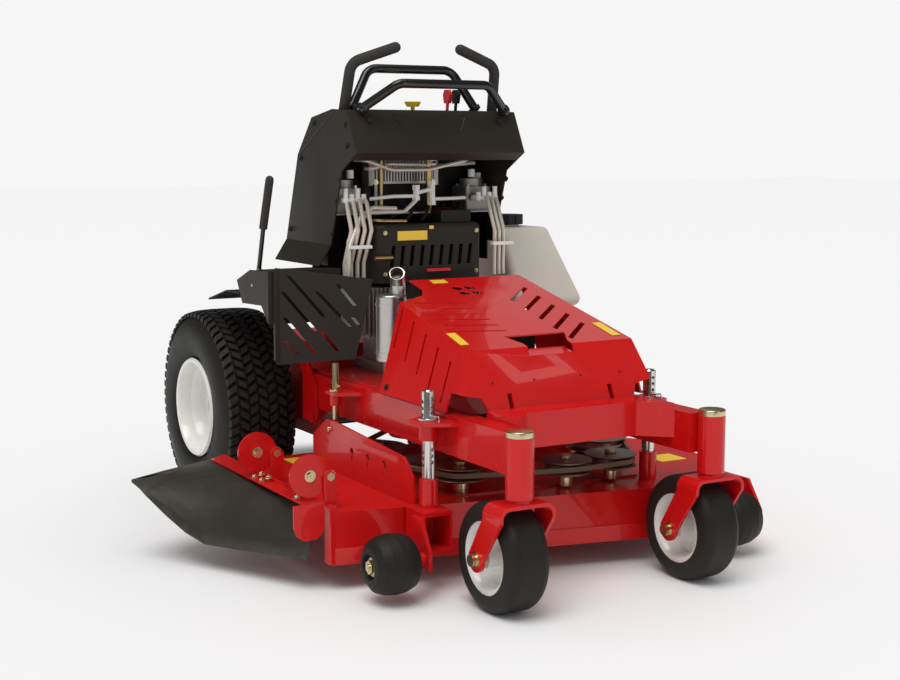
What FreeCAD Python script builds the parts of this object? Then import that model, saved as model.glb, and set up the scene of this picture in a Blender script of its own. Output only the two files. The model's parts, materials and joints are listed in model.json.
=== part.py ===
import FreeCAD, Part
import math
import os

# Stand-on rotary mower. Millimetres, +X forward, +Y left, +Z up.
# Every size below is measured from the rear axle (x = 0), the machine's centre line (y = 0)
# and the ground (z = 0). The finished parts are then moved, so that the origin is the ground
# point under the centre of the machine's overall length and width.

# Driving dimensions
TYRE_D = 508.0
TYRE_W = 200.0
WHEEL_Y = 355.0
RIM_R = 127.0
CASTER_D = 229.0
CASTER_W = 92.0
KINGPIN_X = 1250.0
KINGPIN_Y = 241.0
TRAIL = 60.0
PLATFORM_REAR = -500.0
DECK_LEFT = 575.0
FLAP_TIP = -764.0
RAIL_OUT = 250.0
RAIL_W = 50.0
RAIL_LOW = 285.0
RAIL_TOP = 370.0
DECK_LOW = 57.0
DECK_TOP = 170.0
SKIN = 4.0
BLADE_R = 262.0
SPINDLE_RIGHT = (600.0, -225.0)
SPINDLE_LEFT = (757.0, 295.0)
IDLERS = {"right": (882.0, -160.0), "centre": (944.0, 77.0), "left": (940.0, 205.0)}
CRANK = (400.0, 0.0)
BELT_Z = 220.0
SPINDLE_PULLEY_R = 62.0
IDLER_PULLEY_R = 48.0
ROLLER_RIGHT = (1035.0, -413.0, 83.0)
ROLLER_LEFT = (1092.0, 446.0, 83.0)
ROLLER_HALF = 52.0
POST_X = 971.0
POST_Y = 289.0
ROD_X = 525.0
HOOD_PIVOT = (1015.0, 395.0)
PLATFORM_PIVOT = (-125.0, 172.0)
FLAP_PIVOT = (-470.0, 240.0)
CONSOLE_Y = 229.0
LEVER_PIVOT = (395.0, 930.0)
LEVER_Y = 212.0
BRAKE_PIVOT = (348.0, 600.0)
BRAKE_Y = -409.0
KNOB_Y = -13.0
PUMP_SHELF = 764.0
RUNNING = 0.05
GAP = 0.3

FRONT = KINGPIN_X - TRAIL + CASTER_D / 2
SHIFT = FreeCAD.Vector(-(FRONT + PLATFORM_REAR) / 2, -(DECK_LEFT + FLAP_TIP) / 2, 0)
X_AXIS = FreeCAD.Vector(1, 0, 0)
Y_AXIS = FreeCAD.Vector(0, 1, 0)
Z_AXIS = FreeCAD.Vector(0, 0, 1)
SIDES = {"right": -1, "left": 1}


def vec(x, y, z):
    return FreeCAD.Vector(x, y, z)


def save(name, *shapes):
    """One file for each named piece, moved to the machine's own origin."""
    shape = shapes[0] if len(shapes) == 1 else Part.makeCompound(list(shapes))
    shape = shape.copy()
    shape.translate(SHIFT)
    for solid in shape.Solids:
        if not solid.isValid():
            print("not valid:", name)
    print(name, len(shape.Solids), round(shape.Volume / 1000.0, 1), "cm3")
    shape.exportStep("parts/" + name + ".step")


def box(xs, ys, zs):
    x0, x1 = min(xs), max(xs)
    y0, y1 = min(ys), max(ys)
    z0, z1 = min(zs), max(zs)
    return Part.makeBox(x1 - x0, y1 - y0, z1 - z0, vec(x0, y0, z0))


def rod(start, end, radius):
    start, end = vec(*start), vec(*end)
    return Part.makeCylinder(radius, (end - start).Length, start, end - start)


def tube(start, end, outer, inner):
    return rod(start, end, outer).cut(rod(start, end, inner))


def fuse(first, *others):
    shape = first.multiFuse(list(others))
    return shape.removeSplitter()


def prism(points, direction):
    wire = Part.makePolygon([vec(*p) for p in points] + [vec(*points[0])])
    return Part.Face(wire).extrude(direction)


def plate_y(outline, y0, y1):
    """A flat plate whose outline is given in X and Z."""
    return prism([(x, y0, z) for x, z in outline], vec(0, y1 - y0, 0))


def plate_x(outline, x0, x1):
    """A flat plate whose outline is given in Y and Z."""
    return prism([(x0, y, z) for y, z in outline], vec(x1 - x0, 0, 0))


def plate_z(outline, z0, z1):
    """A flat plate whose outline is given in X and Y."""
    return prism([(x, y, z0) for x, y in outline], vec(0, 0, z1 - z0))


def turned(profile, centre, axis):
    """A body of revolution: profile points are (radius, distance along the axis)."""
    across = Z_AXIS if axis != Z_AXIS else X_AXIS
    points = [centre + across * r + axis * t for r, t in profile]
    face = Part.Face(Part.makePolygon(points + [points[0]]))
    return face.revolve(centre, axis, 360)


def round_edges(shape, radius, wanted):
    return shape.makeFillet(radius, [edge for edge in shape.Edges if wanted(edge)])


def pipe(points, radius, bend):
    """A round bar along straight runs joined by tangent arcs."""
    points = [vec(*p) for p in points]
    edges = []
    start = points[0]
    for before, corner, after in zip(points, points[1:], points[2:]):
        d_in = (corner - before).normalize()
        d_out = (after - corner).normalize()
        turn = d_in.getAngle(d_out)
        cut = bend * math.tan(turn / 2)
        first = corner - d_in * cut
        last = corner + d_out * cut
        inward = (d_out - d_in).normalize()
        middle = corner + inward * (bend / math.cos(turn / 2) - bend)
        edges.append(Part.LineSegment(start, first).toShape())
        edges.append(Part.Arc(first, middle, last).toShape())
        start = last
    edges.append(Part.LineSegment(start, points[-1]).toShape())
    path = Part.Wire(edges)
    ring = Part.makeCircle(radius, points[0], points[1] - points[0])
    return path.makePipeShell([Part.Wire([ring])], True, False)


# Frame

def rail(side):
    outer = box((270, 1226), (side * (RAIL_OUT - RAIL_W), side * RAIL_OUT), (RAIL_LOW, RAIL_TOP))
    wall = SKIN
    inner = box((265, 1205), (side * (RAIL_OUT - RAIL_W + wall), side * (RAIL_OUT - wall)),
                (RAIL_LOW + wall, RAIL_TOP - wall))
    return outer.cut(inner)


def rear_side_plate(side):
    outline = [(300, 285), (300, 430), (-95, 430), (-95, 250), (-143, 200), (-143, 155), (-107, 155),
               (-60, 190), (200, 190)]
    return plate_y(outline, side * 192, side * 200)


def hanger_bracket(side):
    """The bolted plate where the rear box meets the rail."""
    outline = [(262, 250), (262, 400), (290, 400), (345, 345), (345, 262), (330, 245)]
    plate = plate_y(outline, side * RAIL_OUT, side * (RAIL_OUT + 6))
    bolts = [rod((x, side * (RAIL_OUT + 6), z), (x, side * (RAIL_OUT + 15), z), 9)
             for x, z in ((276, 382), (327, 262))]
    return fuse(plate, *bolts)


def post_brackets(side):
    """Sleeves on the rail in which the deck's four hanging posts slide."""
    ear = plate_z([(915, side * 200), (915, side * 262), (940, side * 318), (1000, side * 318),
                   (1030, side * 262), (1030, side * 200)], 352, 360)
    sleeve = rod((POST_X, side * POST_Y, 318), (POST_X, side * POST_Y, 352), 20)
    web = box((POST_X - 4, POST_X + 4), (side * RAIL_OUT, side * 272), (300, 352))
    bore = rod((POST_X, side * POST_Y, 300), (POST_X, side * POST_Y, 365), 14.8)
    front = fuse(ear, sleeve, web).cut(bore)
    edge = [(490, side * RAIL_OUT), (500, side * 306), (550, side * 306), (575, side * RAIL_OUT)]
    shelf = plate_z(edge, 350, 358)
    collar = rod((ROD_X, side * 290, 325), (ROD_X, side * 290, 350), 14)
    rear = fuse(shelf, collar).cut(rod((ROD_X, side * 290, 300), (ROD_X, side * 290, 370), 8 + GAP))
    return front, rear


def front_beam():
    outline = [(1060, -200), (1060, 200), (1176, 200), (1120, 140), (1120, -140), (1176, -200)]
    beam = plate_z(outline, 310, 385)
    return beam.cut(box((1066, 1114), (-190, 190), (300, 379)))


def hood_lug(y):
    x, z = HOOD_PIVOT
    outline = [(1066, 345), (1066, 365), (x + 11, 365), (x + 11, z + 9), (x - 11, z + 9), (x - 11, 345)]
    toward = 1 if y > 0 else -1
    lug = plate_y(outline, y, y + 6 * toward)
    pin = rod((x, y + 5 * toward, z), (x, y + 17 * toward, z), 6)
    return fuse(lug, pin)


def main_frame():
    pieces = []
    for side in SIDES.values():
        pieces += [rail(side), rear_side_plate(side), hanger_bracket(side), *post_brackets(side)]
        pieces.append(box((222, 258), (side * 152, side * 190), (424, 880)))
        pieces.append(hood_lug(side * 128))
        x, z = PLATFORM_PIVOT
        pieces.append(rod((x, side * 194, z), (x, side * 178, z), 8))
    pieces.append(box((-95, -89), (-195, 195), (250, 430)))
    pieces.append(box((-95, 262), (-195, 195), (424, 430)))
    pieces.append(box((262, 815), (-235, 235), (RAIL_TOP, RAIL_TOP + 6)))
    pieces.append(box((640, 680), (-204, 204), (300, 360)))
    pieces.append(box((222, 258), (-CONSOLE_Y, CONSOLE_Y), (700, 720)))
    pieces.append(front_beam())
    frame = fuse(*pieces)
    cuts = [rod((CRANK[0], CRANK[1], 360), (CRANK[0], CRANK[1], 380), 40)]
    for side in SIDES.values():
        cuts.append(rod((KINGPIN_X, side * KINGPIN_Y, 200), (KINGPIN_X, side * KINGPIN_Y, 400), 29))
        for z in (300, 380):
            cuts.append(rod((-100, side * 60, z), (-80, side * 60, z), 5.5))
    for cut in cuts:
        frame = frame.cut(cut)
    return frame


def caster_housing(side):
    x, y = KINGPIN_X, side * KINGPIN_Y
    return tube((x, y, 243), (x, y, 367), 29, 20)


def caster_bearings(side):
    """Two flanged bushes and the press-on dust cap of one kingpin housing."""
    x, y = KINGPIN_X, side * KINGPIN_Y
    bore = 12.7 + RUNNING
    low = tube((x, y, 243), (x, y, 265), 20, bore)
    high = tube((x, y, 345), (x, y, 367), 20, bore)
    cap = rod((x, y, 367), (x, y, 380), 28.8).cut(rod((x, y, 366), (x, y, 377), 17))
    rim = [edge for edge in cap.Edges if edge.BoundBox.ZMin > 379 and edge.Curve.Radius > 20]
    return [low, high, cap.makeFillet(3, rim)]


# Drive wheels

def fat_tyre(centre, diameter, width, bore, shoulder, wall=None):
    """A tyre with a flat tread band and round shoulders, hollow where a wall is given."""
    low = vec(centre[0], centre[1] - width / 2, centre[2])
    body = Part.makeCylinder(diameter / 2, width, low, Y_AXIS)
    body = body.cut(Part.makeCylinder(bore, width, low, Y_AXIS))
    edges = [e for e in body.Edges if hasattr(e.Curve, "Radius") and e.Curve.Radius > bore + 1]
    edges = [e for e in edges if e.BoundBox.YLength < 1]
    body = body.makeFillet(shoulder, edges)
    if wall:
        air = Part.makeCylinder(diameter / 2 - wall, width - 2 * wall, low + Y_AXIS * wall, Y_AXIS)
        body = body.cut(air.makeFillet(shoulder - wall, [e for e in air.Edges if e.BoundBox.YLength < 1]))
    return body


def drive_rim(side):
    """Pressed steel rim with a deep dish, its hub and five wheel nuts."""
    centre = vec(0, side * WHEEL_Y, TYRE_D / 2)
    along = Y_AXIS * side
    profile = [(50, -25), (50, 0), (0.1, 0), (0.1, 6), (85, 6), (112, 34), (112, 74), (134, 80), (141, 87),
               (RIM_R + 12, 89), (RIM_R, 82), (RIM_R, -82), (RIM_R + 12, -89), (141, -87), (134, -80),
               (121, -74), (121, 20), (98, 0), (56, 0), (56, -25)]
    rim = turned(profile, centre, along)
    near, far = side * (WHEEL_Y - 69), side * (WHEEL_Y - 25)
    hub = tube((0, near, TYRE_D / 2), (0, far, TYRE_D / 2), 56, 20 + RUNNING)
    flange = tube((0, side * (WHEEL_Y - 25), TYRE_D / 2), (0, side * WHEEL_Y, TYRE_D / 2), 50, 22)
    nuts = []
    for n in range(5):
        angle = math.radians(72 * n + 90)
        x, z = 70 * math.cos(angle), TYRE_D / 2 + 70 * math.sin(angle)
        nuts.append(rod((x, side * (WHEEL_Y + 6), z), (x, side * (WHEEL_Y + 18), z), 9))
    return [rim, hub, flange, *nuts]


def wheel_motor(side):
    z = TYRE_D / 2
    body = rod((0, side * 200, z), (0, side * 284, z), 58)
    flange = rod((0, side * 200, z), (0, side * 212, z), 74)
    shaft = rod((0, side * 280, z), (0, side * (WHEEL_Y - 32), z), 20)
    return fuse(body, flange, shaft)


# Casters

def caster_fork(side):
    """One flat strap bent to an inverted U, with its stem and thrust washer."""
    x, y = KINGPIN_X, side * KINGPIN_Y
    axle_z = CASTER_D / 2
    outer = box((x - 110, x + 50), (y - 65, y + 65), (60, 237))
    outer = round_edges(outer, 24, lambda e: e.BoundBox.XLength > 150 and e.BoundBox.ZMin > 236)
    inner = box((x - 120, x + 60), (y - 57, y + 57), (50, 229))
    inner = round_edges(inner, 16, lambda e: e.BoundBox.XLength > 150 and e.BoundBox.ZMin > 228)
    strap = outer.cut(inner)
    outline = [(x - 33, 240), (x + 33, 240), (x + 33, 206), (x - 36, axle_z - 4), (x - TRAIL, axle_z - 26),
               (x - TRAIL - 24, axle_z - 12), (x - TRAIL - 26, axle_z + 8), (x - 33, 206)]
    side_view = plate_y(outline, y - 70, y + 70)
    foot = rod((x - TRAIL, y - 70, axle_z), (x - TRAIL, y + 70, axle_z), 26)
    strap = strap.common(fuse(side_view, foot))
    stem = rod((x, y, 230), (x, y, 375), 12.7)
    washer = rod((x, y, 236), (x, y, 242.5), 26)
    hole = rod((x - TRAIL, y - 80, axle_z), (x - TRAIL, y + 80, axle_z), 8)
    return fuse(strap, stem, washer).cut(hole)


def caster_axle(side):
    """Through bolt with its head, nut and the two spacers beside the wheel."""
    x, y, z = KINGPIN_X - TRAIL, side * KINGPIN_Y, CASTER_D / 2
    bolt = rod((x, y - 74, z), (x, y + 74, z), 8)
    washers = [rod((x, y + s * 65, z), (x, y + s * 67, z), 17) for s in (-1, 1)]
    heads = [rod((x, y + s * 67, z), (x, y + s * 77, z), 12.5) for s in (-1, 1)]
    spacers = [rod((x, y + s * 44, z), (x, y + s * 57, z), 14) for s in (-1, 1)]
    return fuse(bolt, *washers, *heads, *spacers)


def caster_rim(side):
    centre = vec(KINGPIN_X - TRAIL, side * KINGPIN_Y, CASTER_D / 2)
    bore = 8 + RUNNING
    profile = [(bore, -43), (20, -43), (20, -8), (60, -4), (62, -32), (66, -40), (75, -43), (75, -40),
               (68, -34),
               (68, 34), (75, 40), (75, 43), (66, 40), (62, 32), (60, 4), (20, 8), (20, 43), (bore, 43)]
    return turned(profile, centre, Y_AXIS)


# Deck

def deck_outline(inset):
    """Plan outline of the deck: a slanted front and a round left front corner."""
    slope = (1051.7 - 904.0) / (234.0 + 473.0)
    right = -473 + inset
    left = DECK_LEFT - inset
    front = inset * math.hypot(1, slope)
    radius = DECK_LEFT - SPINDLE_LEFT[1] - inset
    start, end = math.radians(10), math.radians(90)
    cx, cy = SPINDLE_LEFT

    def on_arc(angle):
        return vec(cx + radius * math.cos(angle), cy + radius * math.sin(angle), 0)

    p_front_right = vec(904 + slope * (right + 473) - front, right, 0)
    p_front_left = vec(1051.7 - front, 234, 0)
    p_rear_left = vec(600, left, 0)
    p_rear_left_low = vec(470 + inset, 470 - inset * 0.3, 0)
    p_rear_right = vec(315 + inset, -90, 0)
    p_rear_right_low = vec(315 + inset, -370, 0)
    p_right_rear = vec(400, right, 0)
    edges = [Part.makeLine(p_front_right, p_front_left), Part.makeLine(p_front_left, on_arc(start)),
             Part.Arc(on_arc(start), on_arc((start + end) / 2), on_arc(end)).toShape()]
    chain = [on_arc(end), p_rear_left, p_rear_left_low, p_rear_right, p_rear_right_low]
    chain += [p_right_rear, p_front_right]
    edges += [Part.makeLine(a, b) for a, b in zip(chain, chain[1:])]
    return Part.Face(Part.Wire(edges))


def slab(inset, z0, z1):
    face = deck_outline(inset)
    face.translate(vec(0, 0, z0))
    return face.extrude(vec(0, 0, z1 - z0))


def deck_shell():
    """Pressed and welded shell: top, skirt, front band and the right side discharge mouth."""
    shell = slab(0, DECK_LOW, DECK_TOP).cut(slab(SKIN, DECK_LOW - 5, DECK_TOP - SKIN))
    band = slab(-4, DECK_LOW, DECK_LOW + 36).cut(slab(0, DECK_LOW - 5, DECK_LOW + 50))
    band = band.cut(box((200, 760), (-600, 700), (0, 200))).cut(box((700, 1000), (545, 700), (0, 200)))
    mouth = box((490, 870), (-520, -440), (DECK_LOW - 5, 158))
    post = box((872, 904), (-486, -470), (DECK_LOW, DECK_TOP + 12))
    lip = box((330, 872), (-484, -470), (DECK_TOP - SKIN, DECK_TOP))
    trough = plate_z([(470, -150), (640, -292), (892, -292), (912, -170), (936, 285), (700, 330), (520, 180)],
                     DECK_TOP, DECK_TOP + 4)
    shell = fuse(shell, band, lip, trough).cut(mouth)
    shell = fuse(shell, post)
    for x, y in (SPINDLE_RIGHT, SPINDLE_LEFT):
        shell = shell.cut(rod((x, y, 150), (x, y, 190), 34))
    return shell


def side_plate(side):
    """Upright plate that carries the hanging rods, with its slotted holes."""
    outline = [(430, DECK_TOP), (430, 242), (505, 290), (560, 290), (890, 268), (930, 232), (936, DECK_TOP)]
    holes = (640, 720, 800)
    if side > 0:
        outline = [(430, DECK_TOP), (430, 242), (505, 290), (560, 290), (620, 250), (640, DECK_TOP)]
        holes = (470,)
    plate = plate_y(outline, side * 300, side * 306)
    for x in holes:
        plate = plate.cut(rod((x, side * 295, 235), (x, side * 310, 235), 9))
        plate = plate.cut(box((x - 4, x + 4), (side * 295, side * 310), (212, 235)))
    return plate.cut(rod((ROD_X, side * 290, 269), (ROD_X, side * 320, 269), 6))


def deck_brackets(shell):
    """Side plates, front channels with post sockets, flap lugs and roller bolts."""
    pieces = [side_plate(1), side_plate(-1)]
    channel = box((946, 1024), (-330, -262), (89, 170)).cut(box((950, 1030), (-325, -267), (94, 165)))
    channel = fuse(channel, box((936, 1024), (-330, -262), (170, 175)))
    x, y, z = ROLLER_RIGHT
    edge = [(x - 50, 165), (x - 13, 165), (x + 25, 100), (x + 25, 62), (x - 23, 62), (x - 50, 100)]
    ear = plate_y(edge, -338, -330)
    axle = rod((x, -334, z), (x, y - 46, z), 8)
    head = rod((x, y - 43.5, z), (x, y - 51, z), 13)
    boss = rod((x, -336, z), (x, y + 43.5, z), 13)
    pieces.append(fuse(channel, ear, axle, head, boss))
    x, y, z = ROLLER_LEFT
    left_axle = rod((x, y + 60, z), (x, y - 46, z), 8)
    left_ear = plate_y([(935, 165), (x - 22, 165), (x + 24, 100), (x + 24, 62), (x - 20, 62), (935, 120)],
                       y + 56, y + 64)
    left_head = rod((x, y - 43.5, z), (x, y - 51, z), 13)
    left_boss = rod((x, y + 58, z), (x, y + 43.5, z), 13)
    pieces.append(fuse(left_ear, left_axle, left_head, left_boss))
    for side, low in ((-1, 175), (1, DECK_TOP)):
        pieces.append(tube((POST_X, side * POST_Y, low), (POST_X, side * POST_Y, 235), 20, 14.5))
    for x in (586, 868):
        y, z = FLAP_PIVOT
        lug = plate_x([(y - 16, 170), (y - 16, z), (y, z + 16), (y + 16, z), (y + 16, 170)], x, x + 6)
        bolt = rod((x - 18, y, z), (x, y, z), 6)
        head = rod((x - 24, y, z), (x - 16, y, z), 10)
        pieces.append(fuse(lug, bolt, head))
    return [piece.cut(shell) for piece in pieces]


def deck_posts():
    posts = []
    for side in SIDES.values():
        x, y = POST_X, side * POST_Y
        post = tube((x, y, 178), (x, y, 422), 14.5, 11)
        for n in range(6):
            z = 265 + 14 * n if n < 3 else 372 + 14 * (n - 3)
            post = post.cut(rod((x, y - 20, z), (x, y + 20, z), 4))
            post = post.cut(rod((x - 20, y, z + 7), (x + 20, y, z + 7), 4))
        washer = tube((x, y, 360.2), (x, y, 365), 23, 14)
        pin = rod((x - 26, y, 369), (x + 30, y, 369), 4)
        posts.append(fuse(post, washer, pin))
        x, y = ROD_X, side * 290
        bar = rod((x, y, 256), (x, y, 425), 8)
        clevis = rod((x, y - side * 12, 269), (x, y + side * 22, 269), 6)
        seat = tube((x, y, 358.2), (x, y, 363), 15, 7)
        clip = rod((x - 20, y, 372), (x + 24, y, 372), 3)
        posts.append(fuse(bar, clevis, seat, clip))
    return posts


def spindle_housing(place):
    x, y = place
    base = rod((x, y, DECK_TOP + 4), (x, y, DECK_TOP + 12), 72)
    body = Part.makeCone(60, 42, 24, vec(x, y, DECK_TOP + 8), Z_AXIS)
    tail = rod((x, y, 126), (x, y, DECK_TOP + 6), 33)
    housing = fuse(base, body, tail)
    bolts = []
    for n in range(6):
        a = math.radians(60 * n)
        bx, by = x + 62 * math.cos(a), y + 62 * math.sin(a)
        bolts.append(rod((bx, by, DECK_TOP + 11), (bx, by, DECK_TOP + 18), 7))
    return fuse(housing, *bolts).cut(rod((x, y, 100), (x, y, 300), 15 + RUNNING))


def pulley(place, groove, bore):
    x, y = place
    profile = [(bore, -14), (groove + 12, -14), (groove + 12, -12), (groove, -6.5), (groove, 6.5),
               (groove + 12, 12), (groove + 12, 14), (bore, 14)]
    return turned(profile, vec(x, y, BELT_Z), Z_AXIS)


def belt():
    """The loop that runs round the engine pulley, both spindles and the idlers."""
    route = [(CRANK, SPINDLE_PULLEY_R), (SPINDLE_RIGHT, SPINDLE_PULLEY_R)]
    route += [(IDLERS[name], IDLER_PULLEY_R) for name in ("right", "centre", "left")]
    route.append((SPINDLE_LEFT, SPINDLE_PULLEY_R))

    def loop(extra):
        stops = [(vec(x, y, 0), r + extra) for (x, y), r in route]
        normals = []
        for (a, ra), (b, rb) in zip(stops, stops[1:] + stops[:1]):
            along = b - a
            part = (ra - rb) / along.Length
            along.normalize()
            right = vec(along.y, -along.x, 0)
            normals.append(along * part + right * math.sqrt(1 - part * part))
        edges = []
        for n, (centre, r) in enumerate(stops):
            n_in, n_out = normals[n - 1], normals[n]
            middle = (n_in + n_out).normalize()
            edges.append(Part.Arc(centre + n_in * r, centre + middle * r, centre + n_out * r).toShape())
            following, r_next = stops[(n + 1) % len(stops)]
            edges.append(Part.makeLine(centre + n_out * r, following + n_out * r_next))
        face = Part.Face(Part.Wire(edges))
        face.translate(vec(0, 0, BELT_Z - 6))
        return face.extrude(vec(0, 0, 12))

    return loop(8.5).cut(loop(0.5))


def blade(place):
    """Flat bar with turned-up sail ends, lying along X at rest."""
    x, y = place
    bar = box((x - BLADE_R, x + BLADE_R), (y - 30, y + 30), (92, 98))
    bar = bar.common(rod((x, y, 80), (x, y, 120), BLADE_R))
    sails = []
    for way in (-1, 1):
        ys = (y - way * 30, y - way * 24, y - way * 6, y - way * 12)
        zs = (97, 97, 112, 112)
        outline = [(a, b) for a, b in zip(ys, zs)]
        sails.append(plate_x(outline, x + way * 165, x + way * 250))
    return fuse(bar, *sails).cut(rod((x, y, 80), (x, y, 120), 12))


def spindle(place):
    x, y = place
    shaft = rod((x, y, 98), (x, y, 240), 15)
    bolt = rod((x, y, 86), (x, y, 98), 12)
    head = rod((x, y, 78), (x, y, 92), 19)
    collar = rod((x, y, 98), (x, y, 125), 24)
    nut = rod((x, y, 234), (x, y, 246), 21)
    return fuse(shaft, bolt, head, collar, nut, pulley(place, SPINDLE_PULLEY_R, 10))


def idler(place):
    x, y = place
    return fuse(pulley(place, IDLER_PULLEY_R, 8 + RUNNING), tube((x, y, 196), (x, y, 208), 20, 8 + RUNNING))


def idler_stub(place):
    """The fixed bolt that an idler turns on."""
    x, y = place
    foot = rod((x, y, DECK_TOP + 4), (x, y, 195), 18)
    bolt = rod((x, y, 190), (x, y, 240), 8)
    head = rod((x, y, 234.5), (x, y, 243), 13)
    return fuse(foot, bolt, head)


def roller(place):
    """Barrel-shaped anti-scalp roller with a recess for the bolt at each end."""
    bore = 8 + RUNNING
    half = [(63.5, 0), (61, 22), (54, 40), (40, 50), (27, ROLLER_HALF), (24, 42), (bore, 42)]
    return turned([(r, -t) for r, t in half[:0:-1]] + half, vec(*place), Y_AXIS)


# Discharge flap

def deflector_plate():
    """Hinge plate with two round ears and the front tab."""
    y, z = FLAP_PIVOT
    strip = plate_z([(321, -492), (360, -540), (884, -540), (884, -492)], 188, 192)
    pieces = [strip]
    for x in (578, 860):
        disc = rod((x, y - 45, z + 5), (x + 6, y - 45, z + 5), 46)
        nose = [(y - 60, z - 20), (y - 60, z + 20), (y, z + 16), (y + 14, z), (y, z - 16)]
        link = plate_x(nose, x, x + 6)
        ear = fuse(disc, link).cut(box((x - 5, x + 10), (y - 120, y + 40), (100, 189)))
        pieces.append(ear.cut(rod((x - 5, y, z), (x + 10, y, z), 6 + RUNNING)))
    tab = plate_x([(-563, 190), (-492, 190), (-492, 142), (-498, 124), (-512, 113), (-541, 113),
                   (-556, 124), (-563, 142)], 884, 888)
    pieces.append(tab)
    bolts = []
    for x in (610, 650, 820):
        bolts.append(rod((x, -515, 190), (x, -515, 200), 7))
    return fuse(*pieces, *bolts)


def deflector_flap():
    """Moulded rubber sheet, flat at its rear edge and turned down at its front."""
    stations = [(324, -506, 186), (360, -584, 186), (400, -670, 186), (446, FLAP_TIP, 184),
                (480, -744, 152), (530, -714, 112), (575, -686, 80), (620, -658, 60),
                (700, -618, 62), (790, -575, 66), (878, -533, 70)]
    thick = 6.0
    steps = 8
    sections = []
    for x, y_out, z_out in stations:
        drop = 186 - z_out
        start = vec(x, -492, 186)
        end = vec(x, y_out, z_out)
        bend = vec(x, y_out + min(30, 0.3 * drop), 186 - 0.08 * drop) if drop > 10 else (start + end) * 0.5
        outer, inner = [], []
        for n in range(steps + 1):
            t = n / steps
            point = start * (1 - t) ** 2 + bend * (2 * t * (1 - t)) + end * t ** 2
            along = ((bend - start) * (1 - t) + (end - bend) * t).normalize()
            outer.append(point)
            inner.append(point + vec(0, -along.z, along.y) * thick)
        ring = outer + inner[::-1]
        sections.append(Part.makePolygon(ring + [ring[0]]))
    return Part.makeLoft(sections, True, True)


# Hood

def hood():
    """Folded sheet hood that tips forward on two knuckles at its front."""
    foot = wire_of([(575, -262, 376), (1052, -258, 374), (1052, 258, 374), (575, 262, 376)])
    crown = wire_of([(555, -200, 614), (994, -219, 503), (994, 219, 503), (555, 200, 614)])
    outer = Part.makeLoft([foot, crown], True, True)
    foot = wire_of([(500, -259, 366), (1050, -255, 366), (1050, 255, 366), (500, 259, 366)])
    crown = wire_of([(500, -196, 625), (991, -215, 500.2), (991, 215, 500.2), (500, 196, 625)])
    inner = Part.makeLoft([foot, crown], True, True)
    shell = outer.cut(inner)
    notch = plate_z([(500, -320), (694, -320), (690, -196), (658, -130), (622, -110), (500, -110)], 340, 640)
    shell = shell.cut(notch)
    for side in (-1, 1):
        corner = plate_x([(side * 178, 360), (side * 200, 408), (side * 290, 425), (side * 290, 360)], 985, 1080)
        shell = shell.cut(corner)
        shell = shell.cut(box((1020, 1070), (side * 124, side * 135), (360, 412)))
    for n in range(5):
        x = 706 + 62 * n
        top = 566 - 22 * n
        shell = shell.cut(box((x, x + 7), (-300, -100), (top - 88, top)))
    for n in range(5):
        x = 640 + 60 * n
        slot = plate_z([(x, 160), (x + 12, 164), (x + 92, 74), (x + 80, 70)], 480, 640)
        shell = shell.cut(slot)
    for n in range(6):
        x = 700 + 36 * n
        shell = shell.cut(plate_z([(x, -178), (x + 5, -178), (x + 22, -52), (x + 17, -52)], 480, 640))
    for angle in (45, 135, 225, 315):
        a = math.radians(angle)
        x, y = 640 + 24 * math.cos(a), 24 * math.sin(a)
        shell = shell.cut(rod((x, y, 500), (x, y, 640), 13))
    hold = [(930, -80), (975, -58), (1010, -58), (1010, 58), (975, 58), (930, 80)]
    shell = shell.cut(plate_z(hold, 484, 560))
    grip = plate_y([(1003.5, 484), (1003.5, 480), (962, 490), (962, 493)], -58, 58)
    px, pz = HOOD_PIVOT
    ears = []
    for side in (-1, 1):
        disc = rod((px, side * 136, pz), (px, side * 142, pz), 13)
        arm = plate_y([(px, pz - 12), (1045, pz - 10), (1034.5, pz + 13), (px, pz + 13)], side * 136, side * 142)
        ear = fuse(disc, arm).cut(rod((px, side * 130, pz), (px, side * 150, pz), 6 + RUNNING))
        ears.append(ear)
    return fuse(shell, grip, *ears)


def wire_of(points):
    return Part.makePolygon([vec(*p) for p in points] + [vec(*points[0])])


# Engine bay

def engine_block():
    """Crankcase with two finned cylinders in a V and their rocker covers."""
    case = box((300, 500), (-110, 110), (376, 560))
    case = round_edges(case, 14, lambda e: e.BoundBox.ZLength > 100)
    sump = box((286, 514), (-124, 124), (376, 400))
    pieces = [case, sump]
    for side in (-1, 1):
        for n in range(6):
            y = side * (114 + 11 * n)
            pieces.append(box((330, 470), (y, y + side * 4), (470, 590)))
        pieces.append(box((350, 450), (side * 108, side * 180), (490, 570)))
        pieces.append(box((335, 465), (side * 178, side * 198), (476, 584)))
    return fuse(*pieces).cut(rod((CRANK[0], CRANK[1], 370), (CRANK[0], CRANK[1], 440), 14 + RUNNING))


def blower_housing():
    """Cooling shroud over the flywheel, louvred along its front."""
    shroud = box((262, 470), (-150, 150), (600, 742))
    shroud = round_edges(shroud, 30, lambda e: e.BoundBox.ZLength > 100)
    shroud = round_edges(shroud, 12, lambda e: e.BoundBox.ZMin > 740)
    shroud = shroud.cut(box((272, 458), (-138, 138), (590, 730)))
    for n in range(9):
        y = -108 + 27 * n
        shroud = shroud.cut(plate_x([(y - 7, 640), (y + 3, 640), (y + 9, 690), (y - 1, 690)], 450, 480))
    neck = tube((400, 0, 560), (400, 0, 600), 90, 80)
    ring = box((300, 458), (-138, 138), (600, 606)).cut(rod((400, 0, 590), (400, 0, 610), 80))
    return fuse(shroud, ring, neck)


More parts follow.
